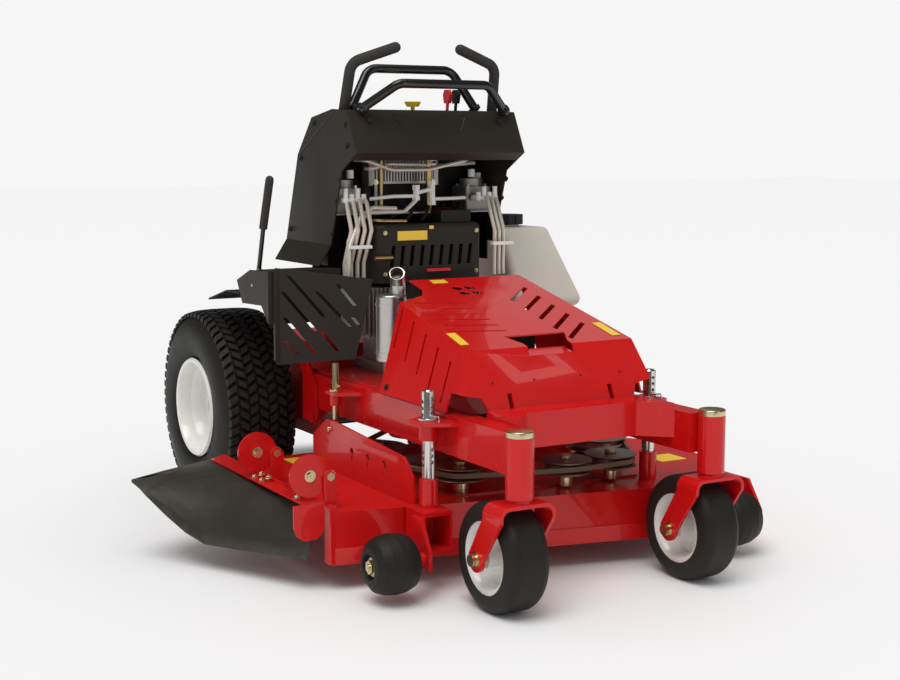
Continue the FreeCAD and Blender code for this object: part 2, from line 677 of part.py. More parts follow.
def muffler():
    """Upright silencer can with its outlet tip."""
    x, y = 572, -166
    can = round_edges(rod((x, y, 425), (x, y, 585), 36), 6, lambda e: hasattr(e.Curve, "Radius"))
    seams = [tube((x, y, z), (x, y, z + 4), 38, 34) for z in (445, 560)]
    foot = box((555, 590), (y - 13, y + 15), (376, 428))
    tip = pipe([(x + 4, y + 16, 570), (x + 4, y + 16, 612), (x + 26, y + 2, 636)], 18, 16)
    tip = tip.cut(rod((x + 14, y + 9.6, 623), (x + 40, y - 6.9, 651), 15))
    return fuse(can, *seams, foot, tip)


def hydro_pumps():
    """Two variable pumps on the shelf between the console sides."""
    z = PUMP_SHELF
    pieces = [box((288, 402), (-CONSOLE_Y, CONSOLE_Y), (z, z + 4))]
    for side in (-1, 1):
        y = side * 186
        body = box((308, 388), (y - 38, y + 38), (z + 4, z + 64))
        body = round_edges(body, 8, lambda e: e.BoundBox.ZLength > 50)
        top = rod((348, y, z + 64), (348, y, z + 84), 30)
        ports = [rod((388, y + dy, z + 37), (400, y + dy, z + 37), 9) for dy in (-24, -8, 8, 24)]
        pieces += [fuse(body, top, *ports)]
    return pieces


def oil_cooler():
    """Finned cooler core with its end tanks and feet."""
    middle, low, high = -20, 837, 929
    core = box((332, 362), (middle - 86, middle + 86), (low, high))
    for n in range(20):
        y = middle - 80 + 8.2 * n
        core = core.cut(box((350, 370), (y, y + 4), (low + 6, high - 6)))
    tanks = [box((330, 366), (middle + s * 86, middle + s * 98), (low - 4, high + 4)) for s in (-1, 1)]
    feet = [box((336, 358), (middle + s * 70, middle + s * 78), (PUMP_SHELF + 4, low + 2)) for s in (-1, 1)]
    return fuse(core, *tanks, *feet)


def hydraulic_lines():
    """Rigid steel lines from the pumps down to the wheel motors, and the cross lines."""
    port = PUMP_SHELF + 37
    lines = []
    for n in range(4):
        y = -210 + 16 * n
        x = 402 + 4 * n
        foot = -218 + 15 * n
        lines.append(pipe([(400.2, y, port), (426 + 4 * n, y, port), (x + 48, y + 2, 730),
                           (x + 30, foot, 650), (x + 30, foot, 615)], 5, 14))
    for n in range(3):
        y = 210 - 16 * n
        lines.append(pipe([(400.2, y, port), (430 + 5 * n, y, port), (470 + 5 * n, y - 2, 722),
                           (458 + 5 * n, 214 - 16 * n, 640), (458 + 5 * n, 214 - 16 * n, 610)], 5, 14))
    lines.append(pipe([(372, -130, 874), (392, -128, 874), (404, -80, 886), (404, 76, 882),
                       (380, 176, 888)], 4.5, 12))
    lines.append(pipe([(372, -160, 896), (412, -150, 896), (418, -80, 872), (418, 20, 872), (412, 130, 894),
                       (372, 160, 896)], 4.5, 12))
    return lines


def battery():
    case = box((650, 810), (-85, 85), (376, 500))
    case = round_edges(case, 6, lambda e: e.BoundBox.ZLength > 100)
    lid = box((645, 815), (-90, 90), (500, 515))
    posts = [rod((680, s * 60, 515), (680, s * 60, 528), 8) for s in (-1, 1)]
    return fuse(case, lid, *posts)


def fuel_tank():
    low = wire_of([(100, 275, 512), (452, 275, 512), (452, 480, 512), (100, 480, 512)])
    high = wire_of([(112, 275, 716), (350, 275, 716), (330, 436, 716), (112, 436, 716)])
    tank = Part.makeLoft([low, high], True, True)
    tank = tank.makeFillet(18, tank.Edges)
    neck = rod((252, 352, 700), (252, 352, 736), 34)
    return fuse(tank, neck)


def fuel_cap():
    cap = rod((252, 352, 722), (252, 352, 748), 46).cut(rod((252, 352, 720), (252, 352, 740), 34 + GAP))
    for n in range(12):
        a = math.radians(30 * n)
        x, y = 252 + 47 * math.cos(a), 352 + 47 * math.sin(a)
        cap = cap.cut(rod((x, y, 715), (x, y, 760), 4))
    return cap


# Console and guards

REAR_LOW, REAR_MID, REAR_TOP = (122, 690), (200, 910), (284, 1000)
TOP_BACK, TOP_FRONT = (400, 1018), (478, 1014)
KNEE_TOP, KNEE_LOW, FRONT_LOW = (528, 914), (448, 870), (386, 688)
CONSOLE = [REAR_LOW, FRONT_LOW, KNEE_LOW, KNEE_TOP, TOP_FRONT, TOP_BACK, REAR_TOP, REAR_MID]


def console_side(side):
    plate = plate_y(CONSOLE, side * CONSOLE_Y, side * (CONSOLE_Y + 4))
    for x, z in ((470, 980), (480, 930)):
        plate = fuse(plate, rod((x, side * (CONSOLE_Y + 3), z), (x, side * (CONSOLE_Y + 8), z), 6))
    x, z = LEVER_PIVOT
    plate = fuse(plate, rod((x, side * 199, z), (x, side * (CONSOLE_Y + 1), z), 8))
    if side > 0:
        return plate
    flare = 33
    skirt = prism([(REAR_LOW[0], -CONSOLE_Y, REAR_LOW[1] + 3), (REAR_LOW[0], -CONSOLE_Y - flare, 642),
                   (REAR_LOW[0], -CONSOLE_Y - flare - 4, 642), (REAR_LOW[0], -CONSOLE_Y - 4, REAR_LOW[1] + 3)],
                  vec(FRONT_LOW[0] - REAR_LOW[0], 0, 0))
    return fuse(plate, skirt)


def console_strip(start, end, half, thick):
    """A folded panel between two points of the console's outline, set inwards."""
    a, b = vec(start[0], 0, start[1]), vec(end[0], 0, end[1])
    along = (b - a).normalize()
    inward = vec(along.z, 0, -along.x) * thick
    corners = [a, b, b + inward, a + inward]
    return plate_y([(p.x, p.z) for p in corners], -half, half)


def console_front():
    lip = tuple(a + (b - a) * 0.42 for a, b in zip(KNEE_TOP, KNEE_LOW))
    face = console_strip(TOP_FRONT, KNEE_TOP, CONSOLE_Y, SKIN)
    knee = console_strip(KNEE_TOP, lip, CONSOLE_Y, SKIN)
    bolts = [rod((489, s * 180, 987), (498, s * 180, 991), 6) for s in (-1, 1)]
    return fuse(face, knee, *bolts)


def console_top():
    """Top panel with slots for the levers, their pivot rod and the hole for the knob."""
    panel = plate_y([(473, 1010.2), (473, 1014.3), TOP_BACK, REAR_TOP, (286, 996.2), (401, 1014)],
                    -CONSOLE_Y, CONSOLE_Y)
    for side in (-1, 1):
        panel = panel.cut(box((370, 464), (side * 190, side * (CONSOLE_Y + 1)), (980, 1030)))
    for y in (100, 124):
        panel = panel.cut(box((338, 410), (y - 5, y + 5), (980, 1030)))
    panel = panel.cut(rod((400, KNOB_Y, 980), (400, KNOB_Y, 1030), 5 + RUNNING))
    hangers = [box((356, 376), (y - 3, y + 3), (958, 1009.5)) for y in (82, 142)]
    pivot = rod((366, 79, 966), (366, 145, 966), 3)
    return fuse(panel, *hangers, pivot)


def console_rear():
    upper = console_strip(REAR_MID, REAR_TOP, CONSOLE_Y, SKIN)
    lower = console_strip(REAR_LOW, REAR_MID, CONSOLE_Y, SKIN)
    return fuse(upper, lower).cut(console_top())


def thigh_pad():
    """Foam pad across the operator's side of the console."""
    along = vec(REAR_MID[0] - REAR_LOW[0], 0, REAR_MID[1] - REAR_LOW[1]).normalize()
    outward = vec(-along.z, 0, along.x)
    base = vec(REAR_LOW[0], 0, REAR_LOW[1]) + along * 22 + outward * 1.0
    corners = [base, base + along * 190, base + along * 190 + outward * 38, base + outward * 38]
    pad = plate_y([(p.x, p.z) for p in corners], -200, 200)
    return pad.makeFillet(12, pad.Edges)


def hand_bars():
    rear = pipe([(388, -176, 1018), (364, -116, 1118), (364, 116, 1118), (388, 176, 1018)], 11, 40)
    front = pipe([(484, -201, 1014), (533, -122, 1076), (533, 122, 1076), (484, 201, 1014)], 11, 35)
    panels = fuse(console_top(), console_front())
    return [rear.cut(panels), front.cut(panels)]


def control_lever(side):
    """Steering lever: a hub on its pivot pin and one bent bar with a foam grip."""
    x, z = LEVER_PIVOT
    y = side * LEVER_Y
    hub = tube((x, side * 201, z), (x, side * 225, z), 18, 8 + RUNNING)
    bar = pipe([(x, y, z + 10), (439, side * 200, 1126), (456, side * 89, 1165)], 13, 34)
    return fuse(hub, bar)


def parking_brake():
    x, z = BRAKE_PIVOT
    hub = tube((x, BRAKE_Y - 7, z), (x, BRAKE_Y + 7, z), 16, 6 + RUNNING)
    bar = pipe([(x + 2, BRAKE_Y, z + 12), (x + 42, BRAKE_Y, 745), (x + 82, BRAKE_Y, 852)], 9, 60)
    return fuse(hub, bar)


def small_lever(y):
    hub = tube((366, y - 4, 966), (366, y + 4, 966), 8, 3 + RUNNING)
    stalk = plate_y([(362, 972), (370, 972), (380, 1038), (373, 1038)], y - 2.5, y + 2.5)
    head = [(366, 1036), (386, 1036), (392, 1058), (384, 1070), (368, 1070), (360, 1058)]
    knob = plate_y(head, y - 5, y + 5)
    return fuse(hub, stalk, knob)


def blade_switch_knob():
    stem = rod((400, KNOB_Y, 985), (400, KNOB_Y, 1026), 5)
    head = Part.makeCone(15, 21, 12, vec(400, KNOB_Y, 1026), Z_AXIS)
    return fuse(stem, head)


def side_box():
    """Black cover over the right wheel's fittings, slotted for the brake lever, with its pin."""
    outline = [(446, 640), (336, 636), (253, 606), (286, 552), (403, 556), (446, 515)]
    inner = [(442, 636), (338, 632), (259, 604), (280, 530), (400, 540), (442, 500)]
    shell = plate_y(outline, -424, -236).cut(plate_y(inner, -420, -232))
    x, z = BRAKE_PIVOT
    shell = shell.cut(box((x - 38, x + 26), (BRAKE_Y - 10.5, BRAKE_Y + 11), (600, 645)))
    pin = rod((x, -422, z), (x, BRAKE_Y + 9, z), 6)
    return fuse(shell, pin)


def guard_panel():
    """Upright guard with slanted slots, running inwards and forwards from the side cover."""
    outline = [(0, 648), (228, 620), (187, 431), (0, 419)]
    panel = plate_y(outline, 0, 4)
    slots = [((27, 629), (109, 532)), ((13, 591), (89, 499)), ((92, 592), (170, 508)),
             ((141, 609), (181, 558)), ((16, 531), (89, 443)), ((16, 477), (47, 444)),
             ((104, 496), (140, 450)), ((176, 530), (190, 512))]
    for (s0, z0), (s1, z1) in slots:
        slot = plate_y([(s0, z0), (s0 + 9, z0), (s1 + 9, z1), (s1, z1)], -5, 9)
        panel = panel.cut(slot)
    heading = math.degrees(math.atan2(210, 100))
    panel.rotate(vec(0, 0, 0), Z_AXIS, heading)
    panel.translate(vec(450, -408, 0))
    return fuse(panel, box((446.2, 456), (-412, -402), (430, 640)))


def fenders():
    pieces = []
    edge = [(56, 540), (60, 545), (180, 575), (266, 577), (266, 573), (182, 571), (62, 541)]
    right = plate_y(edge, -424, -260)
    pieces.append(right)
    left = plate_y([(40, 506.5), (60, 511), (470, 511), (470, 508.5), (60, 508.6)], 262, 470)
    return pieces


# Operator platform

def platform():
    """Folding tread plate with side flanges and two hinge ears."""
    x, z = PLATFORM_PIVOT
    tread = box((PLATFORM_REAR, -105), (-186, 186), (148, 153))
    back = box((PLATFORM_REAR, PLATFORM_REAR + 5), (-186, 186), (120, 148))
    pieces = [tread, back]
    for side in (-1, 1):
        pieces.append(box((PLATFORM_REAR, x + 12), (side * 181, side * 186), (120, 166)))
        pieces.append(fuse(rod((x, side * 180, z), (x, side * 188, z), 17),
                           box((x - 17, x + 17), (side * 180, side * 188), (148, z))))
    shape = fuse(*pieces)
    for side in (-1, 1):
        shape = shape.cut(rod((x, side * 170, z), (x, side * 195, z), 8 + RUNNING))
    return shape


def main():
    os.makedirs("parts", exist_ok=True)
    save("main_frame", main_frame())
    save("caster_housings", caster_housing(-1), caster_housing(1))
    save("caster_bearings", *caster_bearings(-1), *caster_bearings(1))
    save("wheel_motors", wheel_motor(-1), wheel_motor(1))
    save("engine_block", engine_block())
    save("blower_housing", blower_housing())
    save("muffler", muffler())
    save("hydro_pumps", *hydro_pumps())
    save("oil_cooler", oil_cooler())
    save("hydraulic_lines", *hydraulic_lines())
    save("battery", battery())
    save("fuel_tank", fuel_tank())
    save("fuel_cap", fuel_cap())
    save("console_sides", console_side(-1), console_side(1))
    save("console_front", console_front())
    save("console_top", console_top())
    save("console_rear", console_rear())
    save("thigh_pad", thigh_pad())
    save("hand_bars", *hand_bars())
    save("side_box", side_box())
    save("guard_panel", guard_panel())
    save("rear_fender", *fenders())
    for name, side in SIDES.items():
        centre = (0, side * WHEEL_Y, TYRE_D / 2)
        save("drive_rim_" + name, *drive_rim(side))
        save("drive_tyre_" + name, fat_tyre(centre, TYRE_D, TYRE_W, RIM_R, 34, 14))
        save("caster_fork_" + name, caster_fork(side))
        save("caster_axle_" + name, caster_axle(side))
        save("caster_rim_" + name, caster_rim(side))
        centre = (KINGPIN_X - TRAIL, side * KINGPIN_Y, CASTER_D / 2)
        save("caster_tyre_" + name, fat_tyre(centre, CASTER_D, CASTER_W, 75, 22))
        save("control_lever_" + name, control_lever(side))
    shell = deck_shell()
    save("deck_shell", shell)
    save("deck_brackets", *deck_brackets(shell))
    save("deck_posts", *deck_posts())
    save("spindle_housings", spindle_housing(SPINDLE_RIGHT), spindle_housing(SPINDLE_LEFT))
    save("idler_stubs", *[idler_stub(place) for place in IDLERS.values()])
    save("deck_belt", belt())
    for name, place in (("right", SPINDLE_RIGHT), ("left", SPINDLE_LEFT)):
        save("blade_" + name, blade(place))
        save("spindle_" + name, spindle(place))
    for name, place in IDLERS.items():
        save("idler_" + name, idler(place))
    clutch = rod((CRANK[0], CRANK[1], 240), (CRANK[0], CRANK[1], 290), 72)
    shaft = rod((CRANK[0], CRANK[1], 205), (CRANK[0], CRANK[1], 438), 14)
    save("crank_pulley", fuse(pulley(CRANK, SPINDLE_PULLEY_R, 10), shaft, clutch))
    save("roller_right", roller(ROLLER_RIGHT))
    save("roller_left", roller(ROLLER_LEFT))
    save("deflector_plate", deflector_plate())
    save("deflector_flap", deflector_flap())
    save("hood", hood())
    save("parking_brake_lever", parking_brake())
    save("throttle_lever", small_lever(100))
    save("choke_lever", small_lever(124))
    save("blade_knob", blade_switch_knob())
    save("platform", platform())


main()
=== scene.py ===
import json
import math
import bmesh
import bpy
from mathutils import Matrix, Vector


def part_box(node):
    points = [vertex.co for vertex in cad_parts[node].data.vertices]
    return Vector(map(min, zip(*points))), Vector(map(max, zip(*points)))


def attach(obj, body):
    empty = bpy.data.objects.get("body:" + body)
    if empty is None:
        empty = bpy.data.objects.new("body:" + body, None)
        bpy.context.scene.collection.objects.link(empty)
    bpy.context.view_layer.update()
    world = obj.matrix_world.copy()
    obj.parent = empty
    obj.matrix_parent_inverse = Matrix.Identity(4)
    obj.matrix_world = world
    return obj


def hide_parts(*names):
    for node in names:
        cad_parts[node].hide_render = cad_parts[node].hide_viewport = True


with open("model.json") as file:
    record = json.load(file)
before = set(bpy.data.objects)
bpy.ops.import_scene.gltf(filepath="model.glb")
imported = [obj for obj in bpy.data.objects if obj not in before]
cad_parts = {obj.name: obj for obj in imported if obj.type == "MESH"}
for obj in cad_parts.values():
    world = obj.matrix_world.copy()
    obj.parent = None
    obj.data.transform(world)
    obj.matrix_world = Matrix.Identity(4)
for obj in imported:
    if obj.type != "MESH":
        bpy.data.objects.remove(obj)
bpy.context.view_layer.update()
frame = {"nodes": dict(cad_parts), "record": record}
print("frame loaded", len(frame["nodes"]), "nodes")

# Places below are metres from the rear axle, the centre line and the ground
tyreLow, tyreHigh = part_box("drive_tyre_right")
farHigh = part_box("drive_tyre_left")[1]
machine = Vector(((tyreLow.x + tyreHigh.x) / 2, (tyreLow.y + farHigh.y) / 2, 0))
toRight = Vector((0, -1, 0))
toFront = Vector((1, 0, 0))
toTop = Vector((0, 0, 1))


def at(x, y, z):
    return machine + Vector((x, y, z))


# Shader groups

def newGroup(name, inputs, outputs):
    group = bpy.data.node_groups.new(name, "ShaderNodeTree")
    for label, kind, value in inputs:
        item = group.interface.new_socket(name=label, in_out="INPUT", socket_type=kind)
        if value is not None:
            item.default_value = value
    for label, kind in outputs:
        group.interface.new_socket(name=label, in_out="OUTPUT", socket_type=kind)
    start = group.nodes.new("NodeGroupInput")
    end = group.nodes.new("NodeGroupOutput")
    return group, start, end


def addNode(tree, kind, **values):
    node = tree.nodes.new(kind)
    for key, value in values.items():
        if hasattr(node, key):
            setattr(node, key, value)
        else:
            node.inputs[key].default_value = value
    return node


def mathNode(tree, operation, *values):
    node = tree.nodes.new("ShaderNodeMath")
    node.operation = operation
    for socket, value in zip(node.inputs, values):
        if isinstance(value, (int, float)):
            socket.default_value = value
        else:
            tree.links.new(value, socket)
    return node.outputs[0]


def clampTo(tree, value, socket):
    limit = tree.nodes.new("ShaderNodeClamp")
    tree.links.new(value, limit.inputs["Value"])
    tree.links.new(limit.outputs[0], socket)


def buildMottle():  # slow colour drift and fine grain together
    group, start, end = newGroup(
        "mottle",
        [("Vector", "NodeSocketVector", None), ("Broad", "NodeSocketFloat", 4.0),
         ("Fine", "NodeSocketFloat", 300.0)],
        [("Drift", "NodeSocketFloat"), ("Grain", "NodeSocketFloat")])
    broad = addNode(group, "ShaderNodeTexNoise", Detail=4.0, Roughness=0.6)
    fine = addNode(group, "ShaderNodeTexNoise", Detail=3.0, Roughness=0.55)
    for node, label in ((broad, "Broad"), (fine, "Fine")):
        group.links.new(start.outputs["Vector"], node.inputs["Vector"])
        group.links.new(start.outputs[label], node.inputs["Scale"])
    group.links.new(broad.outputs["Fac"], end.inputs["Drift"])
    group.links.new(fine.outputs["Fac"], end.inputs["Grain"])
    return group


def buildEdgeWear():  # a broken mask along convex edges
    group, start, end = newGroup(
        "edgeWear", [("Vector", "NodeSocketVector", None), ("Amount", "NodeSocketFloat", 0.5)],
        [("Mask", "NodeSocketFloat")])
    geometry = group.nodes.new("ShaderNodeNewGeometry")
    chips = addNode(group, "ShaderNodeTexNoise", Scale=60.0, Detail=5.0, Roughness=0.7)
    group.links.new(start.outputs["Vector"], chips.inputs["Vector"])
    edge = mathNode(group, "SUBTRACT", geometry.outputs["Pointiness"], 0.54)
    edge = mathNode(group, "MULTIPLY", edge, 9.0)
    broken = mathNode(group, "MULTIPLY", edge, chips.outputs["Fac"])
    scaled = mathNode(group, "MULTIPLY", broken, start.outputs["Amount"])
    clampTo(group, scaled, end.inputs["Mask"])
    return group


def buildDust():  # settles on upward faces and thins out with height
    group, start, end = newGroup(
        "settledDust",
        [("Vector", "NodeSocketVector", None), ("Amount", "NodeSocketFloat", 0.3),
         ("Height", "NodeSocketFloat", 0.5)],
        [("Mask", "NodeSocketFloat")])
    geometry = group.nodes.new("ShaderNodeNewGeometry")
    facing = group.nodes.new("ShaderNodeSeparateXYZ")
    group.links.new(geometry.outputs["Normal"], facing.inputs[0])
    place = group.nodes.new("ShaderNodeSeparateXYZ")
    group.links.new(start.outputs["Vector"], place.inputs[0])
    patches = addNode(group, "ShaderNodeTexNoise", Scale=9.0, Detail=6.0, Roughness=0.65)
    group.links.new(start.outputs["Vector"], patches.inputs["Vector"])
    up = mathNode(group, "MULTIPLY_ADD", facing.outputs["Z"], 0.5, 0.5)
    low = mathNode(group, "DIVIDE", place.outputs["Z"], start.outputs["Height"])
    low = mathNode(group, "SUBTRACT", 1.2, low)
    mask = mathNode(group, "MULTIPLY", up, low)
    mask = mathNode(group, "MULTIPLY", mask, patches.outputs["Fac"])
    mask = mathNode(group, "MULTIPLY", mask, start.outputs["Amount"])
    clampTo(group, mask, end.inputs["Mask"])
    return group


mottleGroup = buildMottle()
wearGroup = buildEdgeWear()
dustGroup = buildDust()

# Colour and shade are the two ends of the slow drift, rough is the range of roughness
finishes = {
    "redPaint": dict(colour=(0.58, 0.0012, 0.002), shade=(0.66, 0.0018, 0.003), rough=(0.24, 0.34),
        coat=0.4, coatRough=0.03, spec=0.22, fine=420, bump=0.02, wear=0.22,
        wearColour=(0.72, 0.08, 0.07), dust=0.05),
    "blackPaint": dict(colour=(0.019, 0.0152, 0.0110), shade=(0.028, 0.0228, 0.0165),
        rough=(0.42, 0.54), spec=0.28, fine=900, bump=0.10, wear=0.30, wearColour=(0.09, 0.08, 0.07),
        dust=0.03),
    "glossBlack": dict(colour=(0.006, 0.006, 0.0058), shade=(0.011, 0.011, 0.010), rough=(0.16, 0.26),
        coat=0.4, coatRough=0.06, spec=0.4, fine=600, bump=0.05, wear=0.25,
        wearColour=(0.08, 0.08, 0.08), dust=0.0),
    "blackPlastic": dict(colour=(0.006, 0.0058, 0.0054), shade=(0.011, 0.0105, 0.010),
        rough=(0.42, 0.58), spec=0.3, fine=1400, bump=0.15, wear=0.2, wearColour=(0.06, 0.06, 0.06),
        dust=0.05),
    "whitePaint": dict(colour=(0.80, 0.785, 0.75), shade=(0.88, 0.87, 0.84), rough=(0.22, 0.34),
        coat=0.4, coatRough=0.08, fine=300, bump=0.03, wear=0.15, wearColour=(0.55, 0.5, 0.42),
        dust=0.06),
    "tyreRubber": dict(colour=(0.0075, 0.0066, 0.0055), shade=(0.0135, 0.0120, 0.0100),
        rough=(0.44, 0.62), spec=0.3, fine=700, bump=0.22, wear=0.5, wearColour=(0.035, 0.033, 0.03),
        dust=0.16, dustColour=(0.10, 0.09, 0.075)),
    "flapRubber": dict(colour=(0.010, 0.0082, 0.0058), shade=(0.020, 0.0165, 0.0120),
        rough=(0.36, 0.50), spec=0.3, fine=420, bump=0.30, wear=0.3, wearColour=(0.07, 0.065, 0.06),
        dust=0.12),
    "gripFoam": dict(colour=(0.026, 0.023, 0.020), shade=(0.040, 0.036, 0.031), rough=(0.72, 0.86),
        fine=1600, bump=0.45, wear=0.2, wearColour=(0.08, 0.07, 0.06), dust=0.0),
    "padVinyl": dict(colour=(0.014, 0.013, 0.013), shade=(0.026, 0.024, 0.023), rough=(0.42, 0.58),
        fine=650, bump=0.4, wear=0.2, wearColour=(0.06, 0.055, 0.05), dust=0.0),
    "brightSteel": dict(colour=(0.62, 0.61, 0.58), shade=(0.80, 0.79, 0.77), metal=1.0,
        rough=(0.16, 0.32), fine=260, bump=0.06, wear=0.2, wearColour=(0.85, 0.84, 0.82), dust=0.06),
    "mufflerSteel": dict(colour=(0.55, 0.53, 0.50), shade=(0.76, 0.74, 0.71), metal=1.0,
        rough=(0.24, 0.40), fine=160, bump=0.08, wear=0.2, wearColour=(0.85, 0.84, 0.82), dust=0.06),
    "zincSteel": dict(colour=(0.62, 0.50, 0.24), shade=(0.80, 0.72, 0.48), metal=1.0,
        rough=(0.20, 0.38), fine=300, bump=0.08, wear=0.3, wearColour=(0.8, 0.78, 0.7), dust=0.05),
    "bareSteel": dict(colour=(0.30, 0.27, 0.22), shade=(0.46, 0.42, 0.35), metal=1.0, rough=(0.28, 0.5),
        fine=240, bump=0.1, wear=0.3, wearColour=(0.7, 0.68, 0.62), dust=0.1),
    "castAlloy": dict(colour=(0.34, 0.32, 0.295), shade=(0.54, 0.52, 0.485), metal=0.9,
        rough=(0.36, 0.56), fine=420, bump=0.4, wear=0.4, wearColour=(0.75, 0.74, 0.7), dust=0.05),
    "castIron": dict(spec=0.3, colour=(0.014, 0.014, 0.014), shade=(0.035, 0.035, 0.034),
        rough=(0.45, 0.65), fine=520, bump=0.35, wear=0.3, wearColour=(0.12, 0.11, 0.1), dust=0.15),
    "tankPlastic": dict(colour=(0.58, 0.535, 0.46), shade=(0.66, 0.615, 0.54), rough=(0.40, 0.52),
        fine=800, bump=0.12, wear=0.1, wearColour=(0.6, 0.6, 0.58), dust=0.03),
    "beltFabric": dict(colour=(0.10, 0.055, 0.030), shade=(0.17, 0.10, 0.058), rough=(0.6, 0.8),
        fine=900, bump=0.4, wear=0.3, wearColour=(0.28, 0.2, 0.14), dust=0.2),
    "redPlastic": dict(colour=(0.62, 0.008, 0.012), shade=(0.72, 0.012, 0.016), rough=(0.25, 0.36),
        fine=600, bump=0.05, wear=0.1, wearColour=(0.8, 0.2, 0.2), dust=0.0),
    "yellowPlastic": dict(colour=(1.0, 0.74, 0.006), shade=(1.0, 0.80, 0.01), rough=(0.3, 0.42),
        fine=600, bump=0.05, wear=0.1, wearColour=(0.95, 0.8, 0.3), dust=0.0),
    "labelYellow": dict(colour=(0.93, 0.58, 0.006), shade=(0.98, 0.66, 0.01), rough=(0.28, 0.40),
        fine=200, bump=0.02, wear=0.1, wearColour=(0.9, 0.8, 0.5), dust=0.02),
    "brass": dict(colour=(0.50, 0.33, 0.10), shade=(0.68, 0.50, 0.22), metal=1.0, rough=(0.22, 0.36),
        fine=200, bump=0.05, wear=0.2, wearColour=(0.85, 0.7, 0.4), dust=0.0),
    "sootyBore": dict(colour=(0.055, 0.022, 0.010), shade=(0.13, 0.06, 0.03), rough=(0.7, 0.9),
        fine=300, bump=0.3, wear=0.1, wearColour=(0.3, 0.2, 0.1), dust=0.0),
    "creamTube": dict(colour=(0.62, 0.56, 0.45), shade=(0.78, 0.73, 0.63), metal=0.35,
        rough=(0.24, 0.38), fine=260, bump=0.05, wear=0.2, wearColour=(0.85, 0.8, 0.7), dust=0.0),
    "whiteFitting": dict(colour=(0.74, 0.74, 0.72), shade=(0.88, 0.88, 0.86), rough=(0.22, 0.36),
        fine=400, bump=0.04, wear=0.1, wearColour=(0.9, 0.9, 0.88), dust=0.0),
}
materials = {}


def makeFinish(name, look):
    material = bpy.data.materials.new(name)
    material.use_nodes = True
    tree = material.node_tree
    shader = tree.nodes["Principled BSDF"]
    where = tree.nodes.new("ShaderNodeTexCoord").outputs["Object"]

    mottle = addNode(tree, "ShaderNodeGroup", node_tree=mottleGroup)
    mottle.inputs["Broad"].default_value = look.get("broad", 5.0)
    mottle.inputs["Fine"].default_value = look["fine"]
    wear = addNode(tree, "ShaderNodeGroup", node_tree=wearGroup)
    wear.inputs["Amount"].default_value = look["wear"]
    dust = addNode(tree, "ShaderNodeGroup", node_tree=dustGroup)
    dust.inputs["Amount"].default_value = look["dust"]
    dust.inputs["Height"].default_value = 0.7
    for group in (mottle, wear, dust):
        tree.links.new(where, group.inputs["Vector"])

    colour = None
    layers = (((*look["shade"], 1), mottle.outputs["Drift"]),
              ((*look["wearColour"], 1), wear.outputs["Mask"]),
              ((*look.get("dustColour", (0.42, 0.38, 0.32)), 1), dust.outputs["Mask"]))
    for over, mask in layers:
        mix = addNode(tree, "ShaderNodeMix", data_type="RGBA")
        mix.inputs["B"].default_value = over
        mix.inputs["A"].default_value = (*look["colour"], 1)
        if colour:
            tree.links.new(colour, mix.inputs["A"])
        tree.links.new(mask, mix.inputs["Factor"])
        colour = mix.outputs["Result"]
    tree.links.new(colour, shader.inputs["Base Color"])

    span = tree.nodes.new("ShaderNodeMapRange")
    low, high = look["rough"]
    for label, value in (("From Min", 0.3), ("From Max", 0.7), ("To Min", low), ("To Max", high)):
        span.inputs[label].default_value = value
    tree.links.new(mottle.outputs["Drift"], span.inputs["Value"])
    rougher = mathNode(tree, "MULTIPLY_ADD", dust.outputs["Mask"], 0.4, span.outputs["Result"])
    tree.links.new(rougher, shader.inputs["Roughness"])

    bump = tree.nodes.new("ShaderNodeBump")
    bump.inputs["Strength"].default_value = look["bump"]
    bump.inputs["Distance"].default_value = 0.001
    tree.links.new(mottle.outputs["Grain"], bump.inputs["Height"])
    tree.links.new(bump.outputs["Normal"], shader.inputs["Normal"])

    shader.inputs["Metallic"].default_value = look.get("metal", 0.0)
    shader.inputs["Specular IOR Level"].default_value = look.get("spec", 0.5)
    shader.inputs["Coat Weight"].default_value = look.get("coat", 0.0)
    shader.inputs["Coat Roughness"].default_value = look.get("coatRough", 0.1)
    materials[name] = material


for finishName, finishLook in finishes.items():
    makeFinish(finishName, finishLook)
print("finishes made", len(materials))

# What each record slot looks like

slotFinish = {
    "red_paint": "redPaint", "black_paint": "blackPaint", "black_plastic": "blackPlastic",
    "white_paint": "whitePaint", "drive_tyre": "tyreRubber", "black_rubber": "flapRubber",
    "pad_vinyl": "padVinyl", "bright_steel": "brightSteel", "zinc_steel": "zincSteel",
    "bare_steel": "bareSteel", "cast_aluminium": "castAlloy", "cast_iron": "castIron",
    "tank_plastic": "tankPlastic", "red_plastic": "redPlastic", "yellow_plastic": "yellowPlastic"}
ownFinish = {
    "deck_belt": "beltFabric", "muffler": "mufflerSteel", "hydraulic_lines": "creamTube",
    "roller_right": "tyreRubber", "roller_left": "tyreRubber", "oil_cooler": "castAlloy",
    "hand_bars": "glossBlack"}
nodeSlot = {part["node"]: part["material_slot"] for part in frame["record"]["subparts"]}
nodeBody = {}
for bodyName, members in frame["record"]["behaviour"]["bodies"].items():
    for member in members:
        nodeBody[member] = bodyName


def finishOf(node):
    return ownFinish.get(node, slotFinish[nodeSlot[node]])


for nodeName, thing in frame["nodes"].items():
    thing.data.materials.clear()
    thing.data.materials.append(materials[finishOf(nodeName)])

slotOf = {finish: slot for slot, finish in slotFinish.items()}
slotOf.update({
    "glossBlack": "black_paint", "gripFoam": "black_rubber", "mufflerSteel": "bright_steel",
    "beltFabric": "black_rubber", "labelYellow": "yellow_plastic", "brass": "zinc_steel",
    "sootyBore": "bare_steel", "whiteFitting": "white_paint", "creamTube": "white_paint"})


# Modelling helpers

